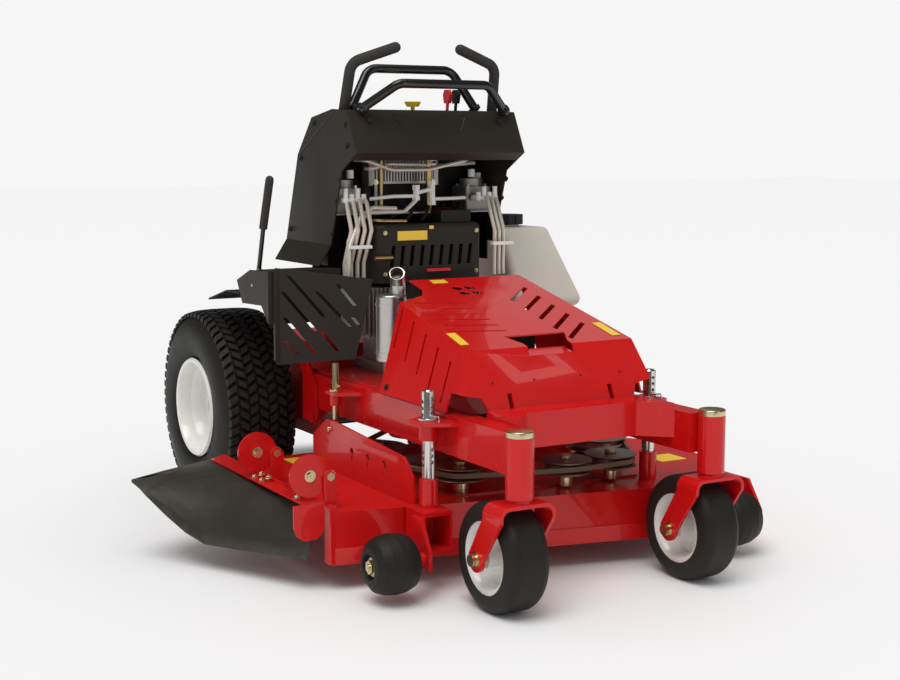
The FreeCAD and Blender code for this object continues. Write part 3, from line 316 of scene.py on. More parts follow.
def dress(mesh, name, finish, body, replaced=(), bevel=0.0, smooth=35, subdivide=0):
    piece = bpy.data.objects.new(name, mesh)
    bpy.context.scene.collection.objects.link(piece)
    mesh.materials.clear()
    mesh.materials.append(materials[finish])
    mesh.shade_smooth()
    if smooth:
        mesh.set_sharp_from_angle(angle=math.radians(smooth))
    if bevel:
        edge = piece.modifiers.new("rolledEdge", "BEVEL")
        edge.width = bevel
        edge.segments = 2
        edge.limit_method = "ANGLE"
        edge.angle_limit = math.radians(30)
        edge.harden_normals = True
    if subdivide:
        finer = piece.modifiers.new("finer", "SUBSURF")
        finer.levels = finer.render_levels = subdivide
    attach(piece, body)
    if replaced:
        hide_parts(*replaced)
    return piece


def toPiece(bm, name, finish, body, **options):
    bmesh.ops.remove_doubles(bm, verts=bm.verts, dist=0.00002)
    bmesh.ops.recalc_face_normals(bm, faces=bm.faces)
    mesh = bpy.data.meshes.new(name)
    bm.to_mesh(mesh)
    bm.free()
    return dress(mesh, name, finish, body, **options)


def softened(node, width):  # a copy of a CAD node with its sharp edges rolled over
    bm = bmesh.new()
    bm.from_mesh(frame["nodes"][node].data)
    bmesh.ops.remove_doubles(bm, verts=bm.verts, dist=0.00001)
    bmesh.ops.dissolve_limit(bm, angle_limit=math.radians(1.0), verts=bm.verts, edges=bm.edges)
    mesh = bpy.data.meshes.new(node)
    bm.to_mesh(mesh)
    bm.free()
    return dress(mesh, node + "_finished", finishOf(node), nodeBody[node], replaced=(node,),
                 bevel=width, smooth=30)


def alongMatrix(start, direction):
    return Matrix.Translation(start) @ direction.to_track_quat("Z", "Y").to_matrix().to_4x4()


def addRod(bm, start, end, radius, endRadius=None, segments=24):
    length = (end - start).length
    place = alongMatrix(start, end - start) @ Matrix.Translation((0, 0, length / 2))
    bmesh.ops.create_cone(bm, cap_ends=True, segments=segments, radius1=radius, depth=length, matrix=place,
                          radius2=radius if endRadius is None else endRadius)


def addBox(bm, low, high):
    size = high - low
    place = Matrix.Translation((low + high) / 2) @ Matrix.Diagonal((*size, 1))
    bmesh.ops.create_cube(bm, size=1, matrix=place)


def addPlate(bm, outline, thickness):  # an outline of points, extruded along a vector
    face = bm.faces.new([bm.verts.new(point) for point in outline])
    grown = bmesh.ops.extrude_face_region(bm, geom=[face])
    moved = [v for v in grown["geom"] if isinstance(v, bmesh.types.BMVert)]
    bmesh.ops.translate(bm, vec=thickness, verts=moved)


def addBolt(bm, place, direction, radius=0.007, height=0.005):
    direction = direction.normalized()
    addRod(bm, place - direction * 0.001, place + direction * 0.0015, radius * 1.5)
    addRod(bm, place + direction * 0.0012, place + direction * (0.0015 + height), radius, segments=6)
    addRod(bm, place + direction * height, place + direction * (0.003 + height), radius * 0.5, segments=12)


def addLathe(bm, profile, centre, axis, steps=72, closed=False):  # profile: radius, distance along the axis
    turn = alongMatrix(centre, axis)
    made = [bm.verts.new(turn @ Vector((radius, 0, along))) for radius, along in profile]
    pairs = list(zip(made, made[1:])) + ([(made[-1], made[0])] if closed else [])
    edges = [bm.edges.new(pair) for pair in pairs]
    bmesh.ops.spin(bm, geom=made + edges, cent=centre, axis=axis, dvec=(0, 0, 0), angle=math.tau,
                   steps=steps, use_merge=True, use_duplicate=False)


def roundedPath(points, bend, stepsPerTurn=6):
    path = [points[0]]
    for before, corner, after in zip(points, points[1:], points[2:]):
        dirIn = (corner - before).normalized()
        dirOut = (after - corner).normalized()
        turn = dirIn.angle(dirOut)
        if turn < 0.02:
            path.append(corner)
            continue
        first = corner - dirIn * bend * math.tan(turn / 2)
        centre = corner + (dirOut - dirIn).normalized() * bend / math.cos(turn / 2)
        normal = dirIn.cross(dirOut).normalized()
        for n in range(stepsPerTurn + 1):
            spin = Matrix.Rotation(turn * n / stepsPerTurn, 3, normal)
            path.append(centre + spin @ (first - centre))
    return path + [points[-1]]


def addPipe(bm, points, radius, bend=0.03, segments=16, domed=False):
    path = roundedPath(points, bend)
    heading = (path[1] - path[0]).normalized()
    ring = bmesh.ops.create_circle(bm, cap_ends=True, segments=segments, radius=radius,
                                   matrix=alongMatrix(path[0], heading))["verts"]
    edges = [e for e in bm.edges if e.verts[0] in ring and e.verts[1] in ring]
    ends = [path[n] - path[n - 1] for n in range(1, len(path))]
    for n, point in enumerate(path[1:]):
        grown = bmesh.ops.extrude_edge_only(bm, edges=edges)["geom"]
        ring = [v for v in grown if isinstance(v, bmesh.types.BMVert)]
        edges = [e for e in grown if isinstance(e, bmesh.types.BMEdge)]
        following = ends[min(n + 1, len(ends) - 1)].normalized()
        middle = (ends[n].normalized() + following).normalized()
        turn = heading.rotation_difference(middle).to_matrix().to_4x4()
        shift = Matrix.Translation(point) @ turn @ Matrix.Translation(-path[n])
        bmesh.ops.transform(bm, matrix=shift, verts=ring)
        heading = middle
    if domed:
        for n in range(1, 5):
            grown = bmesh.ops.extrude_edge_only(bm, edges=edges)["geom"]
            ring = [v for v in grown if isinstance(v, bmesh.types.BMVert)]
            edges = [e for e in grown if isinstance(e, bmesh.types.BMEdge)]
            angles = [(n - 1) * math.pi / 8, n * math.pi / 8]
            sizes = [math.cos(a) for a in angles]
            reach = radius * (math.sin(angles[1]) - math.sin(angles[0]))
            centre = sum((v.co for v in ring), Vector()) / len(ring)
            bmesh.ops.scale(bm, vec=(max(sizes[1], 0.02) / sizes[0],) * 3,
                            space=Matrix.Translation(-centre), verts=ring)
            bmesh.ops.translate(bm, vec=heading * reach, verts=ring)
    bmesh.ops.contextual_create(bm, geom=edges)


sheetEdges = {
    "main_frame": 0.0022, "caster_housings": 0.0015, "caster_fork_right": 0.002,
    "caster_fork_left": 0.002, "deck_shell": 0.002, "deck_brackets": 0.0015, "deflector_plate": 0.0012,
    "hood": 0.0011, "console_sides": 0.0012, "console_front": 0.0012, "console_top": 0.0012,
    "console_rear": 0.0012, "side_box": 0.0012, "guard_panel": 0.001, "platform": 0.0012,
    "blower_housing": 0.002, "engine_block": 0.0012, "hydro_pumps": 0.002, "oil_cooler": 0.0004,
    "battery": 0.002, "wheel_motors": 0.003, "spindle_housings": 0.002, "crank_pulley": 0.001,
    "deck_belt": 0.002, "caster_bearings": 0.0006, "rear_fender": 0.0008, "idler_right": 0.0012,
    "idler_centre": 0.0012, "idler_left": 0.0012, "spindle_right": 0.0012, "spindle_left": 0.0012,
    "idler_stubs": 0.001, "deflector_flap": 0.0025, "throttle_lever": 0.0012, "choke_lever": 0.0012,
    "blade_right": 0.0008, "blade_left": 0.0008}
for nodeName, width in sheetEdges.items():
    softened(nodeName, width)
print("sheet edges rolled", len(sheetEdges))

# Drive wheels

tyreLook = dict(
    radius=0.254, width=0.200, rimRadius=0.127, centreY=0.355, rows=7, ribsPerTurn=30, depth=0.0105)


def addTreadBlock(bm, angle, across, long, wide, skew, look):
    outer = look["radius"] - 0.0006
    ring = []
    for reach in (outer - look["depth"], outer):
        shrink = 1.0 if reach < outer - 0.001 else 0.86
        for along, side in ((-1, -1), (1, -1), (1, 1), (-1, 1)):
            turn = angle + (along * long / 2 * shrink + side * skew * shrink) / look["radius"]
            y = across + side * wide / 2 * shrink
            drop = 0.012 * (abs(y) / (look["width"] / 2)) ** 4
            ring.append(bm.verts.new(((reach - drop) * math.sin(turn), y, (reach - drop) * math.cos(turn))))
    low, high = ring[:4], ring[4:]
    bm.faces.new(high)
    for n in range(4):
        bm.faces.new((low[n], low[(n + 1) % 4], high[(n + 1) % 4], high[n]))
    bm.faces.new(low[::-1])


def makeDriveTyre(side, look):
    y = -look["centreY"] if side == "right" else look["centreY"]
    centre = at(0, y, look["radius"])
    half = look["width"] / 2
    outer = look["radius"] - look["depth"]
    inner = look["rimRadius"]
    bm = bmesh.new()
    profile = [(inner, -half + 0.022), (inner + 0.008, -half + 0.012), (inner + 0.030, -half + 0.003),
               (inner + 0.058, -half), (inner + 0.082, -half + 0.003), (outer - 0.020, -half + 0.009),
               (outer - 0.008, -half + 0.017), (outer - 0.002, -half + 0.032), (outer, -half + 0.060),
               (outer, half - 0.060), (outer - 0.002, half - 0.032), (outer - 0.008, half - 0.017),
               (outer - 0.020, half - 0.009), (inner + 0.082, half - 0.003), (inner + 0.058, half),
               (inner + 0.030, half - 0.003), (inner + 0.008, half - 0.012), (inner, half - 0.022)]
    addLathe(bm, profile, Vector(), Vector((0, 1, 0)), steps=96, closed=True)
    pitch = math.tau / look["ribsPerTurn"]
    rowWide = (look["width"] - 0.020) / look["rows"]
    for row in range(look["rows"]):
        across = (row - (look["rows"] - 1) / 2) * rowWide
        lean = 0.0065 if row % 2 else -0.0065
        for n in range(look["ribsPerTurn"] * 2):
            angle = (n + (0.5 if row % 2 else 0.0)) * pitch / 2
            addTreadBlock(bm, angle, across, 0.0185, rowWide - 0.0035, lean, look)
    bmesh.ops.translate(bm, vec=centre, verts=bm.verts)
    node = "drive_tyre_" + side
    toPiece(bm, node + "_tread", "tyreRubber", nodeBody[node], replaced=(node,), smooth=32)


def makeDriveRim(side, look):
    node = "drive_rim_" + side
    y = -look["centreY"] if side == "right" else look["centreY"]
    outward = -1 if side == "right" else 1
    centre = at(0, y, look["radius"])
    half = look["width"] / 2
    bm = bmesh.new()
    profile = [(0.129, half - 0.010), (0.1245, half - 0.004), (0.118, half - 0.006), (0.114, half - 0.013),
               (0.111, half - 0.040), (0.104, half - 0.050), (0.098, half - 0.075), (0.080, half - 0.083),
               (0.060, half - 0.081), (0.052, half - 0.079), (0.036, half - 0.079), (0.034, half - 0.083),
               (0.034, half - 0.089), (0.080, half - 0.089), (0.104, half - 0.080), (0.109, half - 0.054),
               (0.116, half - 0.044), (0.116, -half + 0.044), (0.119, -half + 0.012),
               (0.127, -half + 0.008), (0.127, -half + 0.016), (0.1235, -half + 0.020),
               (0.1215, -half + 0.050), (0.1215, half - 0.050), (0.1235, half - 0.018)]
    addLathe(bm, profile, centre, Vector((0, outward, 0)), steps=96, closed=True)
    toPiece(bm, node + "_dish", "whitePaint", nodeBody[node], replaced=(node,), smooth=28)
    bm = bmesh.new()
    outwardAxis = Vector((0, outward, 0))
    plane = centre + outwardAxis * (half - 0.080)
    addLathe(bm, [(0.0, 0.030), (0.012, 0.029), (0.024, 0.024), (0.027, 0.016), (0.031, 0.0), (0.0, 0.0)],
             plane, outwardAxis, steps=48)
    for n in range(5):
        turn = math.tau * n / 5 + 0.3
        addBolt(bm, plane + Vector((0.047 * math.sin(turn), 0, 0.047 * math.cos(turn))), outwardAxis,
                0.0095, 0.009)
    toPiece(bm, node + "_hub_nuts", "zincSteel", nodeBody[node], smooth=30)


for sideName in ("right", "left"):
    makeDriveTyre(sideName, tyreLook)
    makeDriveRim(sideName, tyreLook)
print("drive wheels made")

# Steering levers, hand bars and brake

gripLook = dict(
    radius=0.013, hubRadius=0.018, foamStart=0.30,
    path=((395, 212, 940), (439, 200, 1126), (455.8, 90, 1164)))


def millimetres(x, y, z):
    return at(x / 1000, y / 1000, z / 1000)


def makeSteeringLever(side, look):
    sign = -1 if side == "right" else 1
    node = "control_lever_" + side
    points = [millimetres(x, sign * y, z) for x, y, z in look["path"]]
    foamFoot = points[0].lerp(points[1], look["foamStart"])
    pivot = millimetres(395, sign * 213, 930)
    bm = bmesh.new()
    addRod(bm, pivot + toRight * 0.012, pivot - toRight * 0.012, look["hubRadius"])
    addPipe(bm, [points[0] - toTop * 0.008, foamFoot.lerp(points[1], 0.1)], 0.0105)
    toPiece(bm, node + "_bar", "glossBlack", nodeBody[node], replaced=(node,), bevel=0.0008)
    bm = bmesh.new()
    addPipe(bm, [foamFoot, points[1], points[2]], look["radius"], bend=0.034, segments=32, domed=True)
    toPiece(bm, node + "_foam", "gripFoam", nodeBody[node], smooth=50)


def makeBrake():
    node = "parking_brake_lever"
    foot, middle, top = [millimetres(x, -409, z) for x, z in ((350, 612), (390, 745), (430, 852))]
    bm = bmesh.new()
    pivot = millimetres(348, -409, 600)
    addRod(bm, pivot + toRight * 0.007, pivot - toRight * 0.007, 0.016, segments=32)
    addBolt(bm, pivot + toRight * 0.0072, toRight, 0.0075, 0.005)
    addRod(bm, foot, foot.lerp(middle, 0.22), 0.0085, 0.0065)
    toPiece(bm, node + "_hub", "zincSteel", nodeBody[node], replaced=(node,), bevel=0.0006)
    bm = bmesh.new()
    addPipe(bm, [foot, middle, middle.lerp(top, 0.2)], 0.0055, bend=0.05)
    toPiece(bm, node + "_rod", "glossBlack", nodeBody[node])
    bm = bmesh.new()
    addPipe(bm, [middle.lerp(foot, 0.06), middle, top], 0.0098, bend=0.05, segments=28, domed=True)
    toPiece(bm, node + "_foam", "gripFoam", nodeBody[node], smooth=50)


for sideName in ("right", "left"):
    makeSteeringLever(sideName, gripLook)
makeBrake()


barLook = dict(radius=0.0150, bars=(((388, -176, 1018), (364, -116, 1118)),
                                    ((484, -201, 1014), (533, -122, 1076))))


def makeBarFeet(look):
    bm = bmesh.new()
    for sign in (-1, 1):
        for foot, top in look["bars"]:
            start = millimetres(foot[0], sign * foot[1], foot[2])
            rise = (millimetres(top[0], sign * top[1], top[2]) - start).normalized()
            addRod(bm, start + rise * 0.001, start + rise * 0.012, look["radius"])
            addBolt(bm, start + rise * 0.008 + toFront * 0.014, toFront, 0.0045, 0.003)
    toPiece(bm, "bar_feet", "glossBlack", "chassis", bevel=0.001)


makeBarFeet(barLook)
print("levers made")

# Hood labels and bolts

labelLook = dict(thickness=0.0006, rearX=0.555, rearZ=0.6144, fall=0.25285)


def addLabel(bm, corners, normal):
    addPlate(bm, [point + normal * 0.0003 for point in corners], normal * labelLook["thickness"])


def hoodTop(x, y):
    return at(x, y, labelLook["rearZ"] - (x - labelLook["rearX"]) * labelLook["fall"])


def makeHoodLabels():
    bm = bmesh.new()
    normal = Vector((111, 0, 439)).normalized()
    for patch in (((0.893, 0.182), (0.893, 0.205), (0.972, 0.205), (0.972, 0.182)),
                  ((0.566, -0.060), (0.566, -0.020), (0.588, -0.020), (0.588, -0.060)),
                  ((0.894, -0.203), (0.894, -0.180), (0.962, -0.185), (0.962, -0.206))):
        addLabel(bm, [hoodTop(x, y) for x, y in patch], normal)
    toPiece(bm, "hood_labels", "labelYellow", "engine_hood")
    bm = bmesh.new()
    slope = Vector((0.129, 0, 0.058)).normalized()
    for y in (-0.165, -0.06, 0.06, 0.165):
        addBolt(bm, at(1.0205, y, 0.434), slope, 0.0048, 0.0022)
    for x in (0.72, 0.93):
        for sign in (-1, 1):
            addBolt(bm, at(x, sign * 0.2568, 0.392), Vector((0, sign, 0.26)), 0.005, 0.003)
    toPiece(bm, "hood_bolts", "blackPaint", "engine_hood")


deckLabelLook = dict(low=0.1704, high=0.1712,
                     patches=(((0.355, -0.352), (0.418, -0.312)), ((0.775, 0.430), (0.845, 0.505))))


def makeDeckLabels(look):
    bm = bmesh.new()
    for corner, opposite in look["patches"]:
        addBox(bm, at(*corner, look["low"]), at(*opposite, look["high"]))
    toPiece(bm, "deck_labels", "labelYellow", "deck")


makeHoodLabels()
makeDeckLabels(deckLabelLook)

# Muffler outlet

def makeSootyBore():
    start, bend, end = [millimetres(*p) for p in ((576, -150, 598), (576, -150, 612), (597, -164.3, 635))]
    bm = bmesh.new()
    heading = (end - bend).normalized()
    addRod(bm, bend, bend.lerp(end, 0.35), 0.0148, segments=32)
    lining = [(0.0148, 0.0), (0.0148, 0.028), (0.0156, 0.028), (0.0156, 0.0)]
    addLathe(bm, lining, bend.lerp(end, 0.30) - heading * 0.0005, heading, steps=32, closed=True)
    toPiece(bm, "muffler_bore", "sootyBore", "chassis")


makeSootyBore()

# Under the console

bayLook = dict(portZ=0.801, nutRadius=0.00756, pumpY=0.186, portPitch=0.016)


def addNut(bm, start, direction, length, radius):
    addRod(bm, start, start + direction * length, radius, segments=6)
    addRod(bm, start + direction * length, start + direction * (length + 0.006), radius * 0.72, segments=16)


def makePumpFittings(look):
    bm = bmesh.new()
    for sign in (-1, 1):
        for n in range(4):
            y = sign * (look["pumpY"] + look["portPitch"] * (n - 1.5))
            addNut(bm, at(0.3995, y, look["portZ"]), toFront, 0.014, look["nutRadius"])
    for x, y, low, high in ((0.420, 0.030, 0.785, 0.846), (0.420, -0.015, 0.798, 0.835),
                            (0.420, 0.030, 0.884, 0.899)):
        addRod(bm, at(x, y, low), at(x, y, high), 0.0075)
        addRod(bm, at(x, y, high - 0.012), at(x, y, high), 0.0105, segments=6)
        addRod(bm, at(x, y, low), at(x, y, low + 0.010), 0.0105, segments=6)
    addPipe(bm, [at(0.420, 0.030, 0.800), at(0.420, 0.075, 0.800), at(0.402, 0.135, 0.801)], 0.0045)
    addPipe(bm, [at(0.420, -0.015, 0.808), at(0.420, -0.080, 0.808), at(0.402, -0.135, 0.802)], 0.0045)
    addPipe(bm, [at(0.420, 0.030, 0.825), at(0.420, -0.015, 0.815)], 0.0050)
    for sign in (-1, 1):
        addRod(bm, at(0.372, sign * 0.172, 0.852), at(0.372, sign * 0.172, 0.872), 0.009)
        addRod(bm, at(0.345, sign * 0.205, 0.848), at(0.345, sign * 0.205, 0.862), 0.011, segments=6)
    toPiece(bm, "bay_fittings", "whiteFitting", "chassis", bevel=0.0005)


def makeCrossLines():
    bm = bmesh.new()
    for path in (((0.430, -0.076, 0.779), (0.430, -0.145, 0.782), (0.446, -0.214, 0.705),
                  (0.446, -0.216, 0.655), (0.446, -0.222, 0.622)),
                 ((0.424, -0.015, 0.800), (0.424, -0.050, 0.770), (0.436, -0.172, 0.770),
                  (0.460, -0.219, 0.690), (0.460, -0.221, 0.640), (0.460, -0.224, 0.615))):
        addPipe(bm, [at(*point) for point in path], 0.0052, bend=0.014)
    toPiece(bm, "bay_lines", "creamTube", "chassis")


def makeElbows(look):
    bm = bmesh.new()
    for sign in (-1, 1):
        for n in range(4):
            y = sign * (look["pumpY"] + look["portPitch"] * (n - 1.5))
            bmesh.ops.create_uvsphere(bm, u_segments=20, v_segments=12, radius=0.0086,
                                      matrix=Matrix.Translation(at(0.424, y, look["portZ"])))
            addRod(bm, at(0.424, y, look["portZ"]), at(0.424, y, look["portZ"] + 0.014 * (1 + n % 2)),
                   0.0062)
    toPiece(bm, "bay_elbows", "whiteFitting", "chassis")


def makeBrassRods():
    bm = bmesh.new()
    addPipe(bm, [at(0.402, 0.030, 0.765), at(0.402, 0.030, 0.830), at(0.404, 0.030, 0.902)], 0.0075)
    addPipe(bm, [at(0.400, -0.102, 0.770), at(0.400, -0.102, 0.900)], 0.0048)
    addPipe(bm, [at(0.404, -0.150, 0.7510), at(0.456, -0.142, 0.7510), at(0.456, -0.062, 0.7490)], 0.0042)
    addPipe(bm, [at(0.478, -0.159, 0.6630), at(0.478, -0.112, 0.6630)], 0.0052)
    toPiece(bm, "bay_brass", "brass", "chassis", bevel=0.0004)


def makeLineClips():
    bm = bmesh.new()
    for x, y, z in ((0.462, -0.193, 0.690), (0.500, 0.184, 0.690)):
        addBox(bm, at(x - 0.006, y - 0.030, z - 0.004), at(x + 0.010, y + 0.030, z + 0.004))
    toPiece(bm, "line_clips", "whiteFitting", "chassis", bevel=0.001)


def makeShroudLabels():
    bm = bmesh.new()
    addBox(bm, at(0.4702, -0.094, 0.7030), at(0.4710, -0.012, 0.7255))
    addBox(bm, at(0.4702, -0.006, 0.7290), at(0.4710, 0.006, 0.7370))
    toPiece(bm, "shroud_label", "labelYellow", "chassis")


def makeShroudBar():
    bm = bmesh.new()
    addBox(bm, at(0.4700, -0.016, 0.6245), at(0.4785, 0.050, 0.6320))
    toPiece(bm, "shroud_bar", "redPlastic", "chassis", bevel=0.001)


def makeBayBolts():
    bm = bmesh.new()
    for sign in (-1, 1):
        for y, z in ((0.128, 0.722), (0.128, 0.622)):
            addBolt(bm, at(0.4702, sign * y, z), toFront, 0.0035, 0.003)
    for y in (-0.100, 0.060):
        addBolt(bm, at(0.3665, y, 0.925), toFront, 0.0045, 0.003)
        addBolt(bm, at(0.3665, y, 0.842), toFront, 0.0045, 0.003)
    for sign in (-1, 1):
        for dx, dy in ((-0.026, -0.026), (0.026, -0.026), (0.026, 0.026), (-0.026, 0.026)):
            addBolt(bm, at(0.348 + dx, sign * 0.186 + dy, 0.8282), toTop, 0.0048, 0.004)
    toPiece(bm, "bay_bolts", "zincSteel", "chassis")


def makeShadeFillAndHoses():  # dark fill sheets behind the shroud and at its sides, painted shade standing in for the dark bay, with the hoses over them
    bm = bmesh.new()
    # painted shade: a thin dark sheet across the bay behind the shroud
    addBox(bm, at(0.288, -0.224, 0.772), at(0.292, 0.224, 0.930))
    for y in (-0.120, 0.095):
        addPipe(bm, [at(0.300, y, 0.772), at(0.318, y + 0.01, 0.840), at(0.305, y + 0.03, 0.925)], 0.006)
    for n in range(5):
        y = -0.09 + 0.045 * n
        addPipe(bm, [at(0.410, y, 0.742), at(0.440, y + 0.01, 0.762), at(0.400, y + 0.03, 0.785)], 0.0045)
    addPipe(bm, [at(0.360, -0.150, 0.742), at(0.430, -0.156, 0.755), at(0.450, -0.156, 0.700)], 0.007)
    addBox(bm, at(0.405, 0.040, 0.742), at(0.448, 0.125, 0.772))
    # painted shade: a lower dark sheet and two side sheets that close the bay
    addBox(bm, at(0.268, -0.228, 0.540), at(0.272, 0.228, 0.763))
    for sign in (-1, 1):
        addBox(bm, at(0.272, sign * 0.2275 - 0.0013, 0.640), at(0.360, sign * 0.2275 + 0.0013, 0.763))
    toPiece(bm, "bay_hoses_and_shade_fill", "blackPlastic", "chassis", bevel=0.001)


makePumpFittings(bayLook)
makeCrossLines()
makeElbows(bayLook)
makeBrassRods()
makeLineClips()
makeShroudLabels()
makeShroudBar()
makeBayBolts()
makeShadeFillAndHoses()
print("engine bay dressed")

# Console seams and bolts

trimLook = dict(sideY=0.2332, seam=((0.412, 1.013), (0.385, 1.000), (0.208, 0.908)), seamRadius=0.0016,
                panel=((-0.115, 0.012), (-0.090, 0.055), (0.064, 0.055), (0.088, 0.012), (-0.115, 0.012)),
                bolts=((0.392, 0.720), (0.420, 0.800), (0.440, 0.848),
                       (0.150, 0.720), (0.220, 0.900), (0.300, 0.985)))


def makeConsoleTrim(look):
    bm = bmesh.new()
    for sign in (-1, 1):
        seam = [at(x, sign * look["sideY"], z) for x, z in look["seam"]]
        addPipe(bm, seam, look["seamRadius"], bend=0.02, segments=8)
    slope = (at(0.528, 0, 0.914) - at(0.478, 0, 1.014)).normalized()
    normal = Vector((-slope.z, 0, slope.x)).normalized()
    corners = []
    for y, down in look["panel"]:
        corners.append(at(0.478, y, 1.014) + slope * down + normal * 0.0002)
    addPipe(bm, corners, 0.0012, bend=0.004, segments=8)
    toPiece(bm, "console_seams", "glossBlack", "chassis", smooth=60)
    bm = bmesh.new()
    for sign in (-1, 1):
        for x, z in look["bolts"]:
            addBolt(bm, at(x, sign * 0.2331, z), Vector((0, sign, 0)), 0.0048, 0.003)
    toPiece(bm, "console_bolts", "blackPaint", "chassis")


makeConsoleTrim(trimLook)

# Discharge flap fixings

flapBoltLook = dict(outerRow=(0.600, 0.640, 0.830), innerRow=(0.610, 0.650, 0.820), ears=(0.5842, 0.8662))


def makeFlapBolts(look):
    bm = bmesh.new()
    for x in look["outerRow"]:
        addBolt(bm, at(x, -0.528, 0.1920), toTop, 0.0065, 0.005)
    for x in look["innerRow"]:
        addBolt(bm, at(x, -0.515, 0.1998), toTop, 0.0068, 0.004)
    for x in look["ears"]:
        addBolt(bm, at(x, -0.470, 0.240), toFront, 0.0095, 0.007)
        addBolt(bm, at(x, -0.515, 0.245), toFront, 0.0085, 0.006)
    toPiece(bm, "flap_bolts", "zincSteel", "deflector")


makeFlapBolts(flapBoltLook)

# Hanging posts

def makePosts():
    source = bmesh.new()
    source.from_mesh(frame["nodes"]["deck_posts"].data)
    split = machine.x + 0.75
    for name, finish, front in (("front_posts", "brightSteel", True), ("rear_rods", "zincSteel", False)):
        bm = source.copy()
        away = [f for f in bm.faces if (f.calc_center_median().x > split) != front]
        bmesh.ops.delete(bm, geom=away, context="FACES")
        for sign in (-1, 1) if front else ():
            centre = at(0.971, sign * 0.289, 0.422)
            addRod(bm, centre, centre + toTop * 0.003, 0.0125, 0.0105)
            pin = at(0.971, sign * 0.289, 0.369)
            clip = [pin + toFront * 0.026 + toTop * 0.001, pin + toFront * 0.044 + toTop * 0.006,
                    pin + toFront * 0.046 - toTop * 0.010, pin + toFront * 0.020 - toTop * 0.003]
            addPipe(bm, clip, 0.0014, bend=0.005, segments=10)
        toPiece(bm, name, finish, "deck", replaced=("deck_posts",) if front else (), smooth=30,
                bevel=0.0004)
    source.free()


makePosts()

# Barrel roller and axle bolts

rollerLook = dict(right=((1.035, -0.413, 0.083), -1), left=((1.092, 0.446, 0.083), 1))


def makeRollerBolts(look):
    for side, (place, sign) in look.items():
        bm = bmesh.new()
        outward = Vector((0, sign, 0))
        centre = at(*place) + outward * 0.0432
        addRod(bm, centre, centre + outward * 0.0010, 0.0200, segments=32)
        addRod(bm, centre, centre + outward * 0.0088, 0.0152, segments=6)
        addRod(bm, centre + outward * 0.008, centre + outward * 0.012, 0.007, segments=20)
        toPiece(bm, "roller_bolt_" + side, "zincSteel", "deck", bevel=0.0006)


makeRollerBolts(rollerLook)

# Platform studs

platformLook = dict(
    low=(-0.484, -0.166), high=(-0.150, 0.166), pitch=0.0225, top=0.153, rim=0.006, thickness=0.0034,
    studRise=0.0026, studRadius=0.0062, studTop=0.0046)


def makePlatformTread(look):
    bm = bmesh.new()
    (lowX, lowY), (highX, highY) = look["low"], look["high"]
    rim, thick = look["rim"], look["thickness"]
    addBox(bm, at(lowX - rim, lowY - rim, look["top"] + 0.0002),
           at(highX + rim, highY + rim, look["top"] + thick))
    columns = int((highX - lowX) / look["pitch"])
    rows = int((highY - lowY) / look["pitch"])
    for i in range(columns + 1):
        for j in range(rows + 1):
            foot = at(lowX + i * look["pitch"], lowY + j * look["pitch"], look["top"] + 0.0032)
            addRod(bm, foot, foot + toTop * look["studRise"], look["studRadius"], look["studTop"],
                   segments=12)
    toPiece(bm, "platform_mat", "flapRubber", "operator_platform", smooth=30)


makePlatformTread(platformLook)
print("small parts made")

# Thigh pad, swollen by cloth pressure and then sewn with two channels

padLook = dict(
    size=(0.180, 0.386, 0.028), voxel=0.005, pressure=4.0, frames=16, cap=0.006,
    channels=(-0.062, 0.062), channelDepth=0.0045, channelWidth=0.004, backPlane=0.018, rounding=0.009,
    foot=0.117, off=0.020)


def shapeNow(thing):
    graph = bpy.context.evaluated_depsgraph_get()
    return bpy.data.meshes.new_from_object(thing.evaluated_get(graph))


def swell(bm, look):
    mesh = bpy.data.meshes.new("padStart")
    bm.to_mesh(mesh)
    bm.free()
    start = bpy.data.objects.new("padStart", mesh)
    bpy.context.scene.collection.objects.link(start)
    even = start.modifiers.new("even", "REMESH")
    even.mode = "VOXEL"
    even.voxel_size = look["voxel"]
    mesh = shapeNow(start)
    start.modifiers.clear()
    start.data = mesh
    before = [v.co.copy() for v in mesh.vertices]
    cloth = start.modifiers.new("cloth", "CLOTH").settings
    cloth.use_pressure = True
    cloth.uniform_pressure_force = look["pressure"]
    cloth.effector_weights.gravity = 0
    for number in range(1, look["frames"] + 1):
        bpy.context.scene.frame_set(number)
    swollen = shapeNow(start)
    bpy.context.scene.frame_set(1)
    for v, place in zip(swollen.vertices, before):
        moved = v.co - place
        if moved.length > look["cap"]:
            v.co = place + moved.normalized() * look["cap"]
        for channel in look["channels"]:
            if place.z < -0.006:
                v.co.z += look["channelDepth"] * math.exp(-((v.co.y - channel) / look["channelWidth"]) ** 2)
        v.co.z = min(v.co.z, look["backPlane"])
    bpy.data.objects.remove(start)
    return swollen


def makeThighPad(look):
    along = (at(0.200, 0, 0.910) - at(0.122, 0, 0.690)).normalized()
    outward = Vector((-along.z, 0, along.x))
    centre = at(0.122, 0, 0.690) + along * look["foot"] + outward * look["off"]
    turn = Matrix((along, Vector((0, 1, 0)), -outward)).transposed().to_4x4()
    bm = bmesh.new()
    bmesh.ops.create_cube(bm, size=1, matrix=Matrix.Diagonal((*look["size"], 1)))
    bmesh.ops.bevel(bm, geom=bm.edges[:], offset=look["rounding"], offset_type="OFFSET", affect="EDGES",
                    segments=3, profile=0.5, material=-1)
    mesh = swell(bm, look)
    mesh.transform(Matrix.Translation(centre) @ turn)
    pad = dress(mesh, "thigh_pad_cushion", "padVinyl", "chassis", replaced=("thigh_pad",), smooth=0,
                subdivide=1)


makeThighPad(padLook)
print("thigh pad made")

# Camera, light, floor

cameraLook = {"place": (3.6698, -1.7974, 0.9310), "azimuth": 59.965, "down": 7.40, "lens": 59.86}


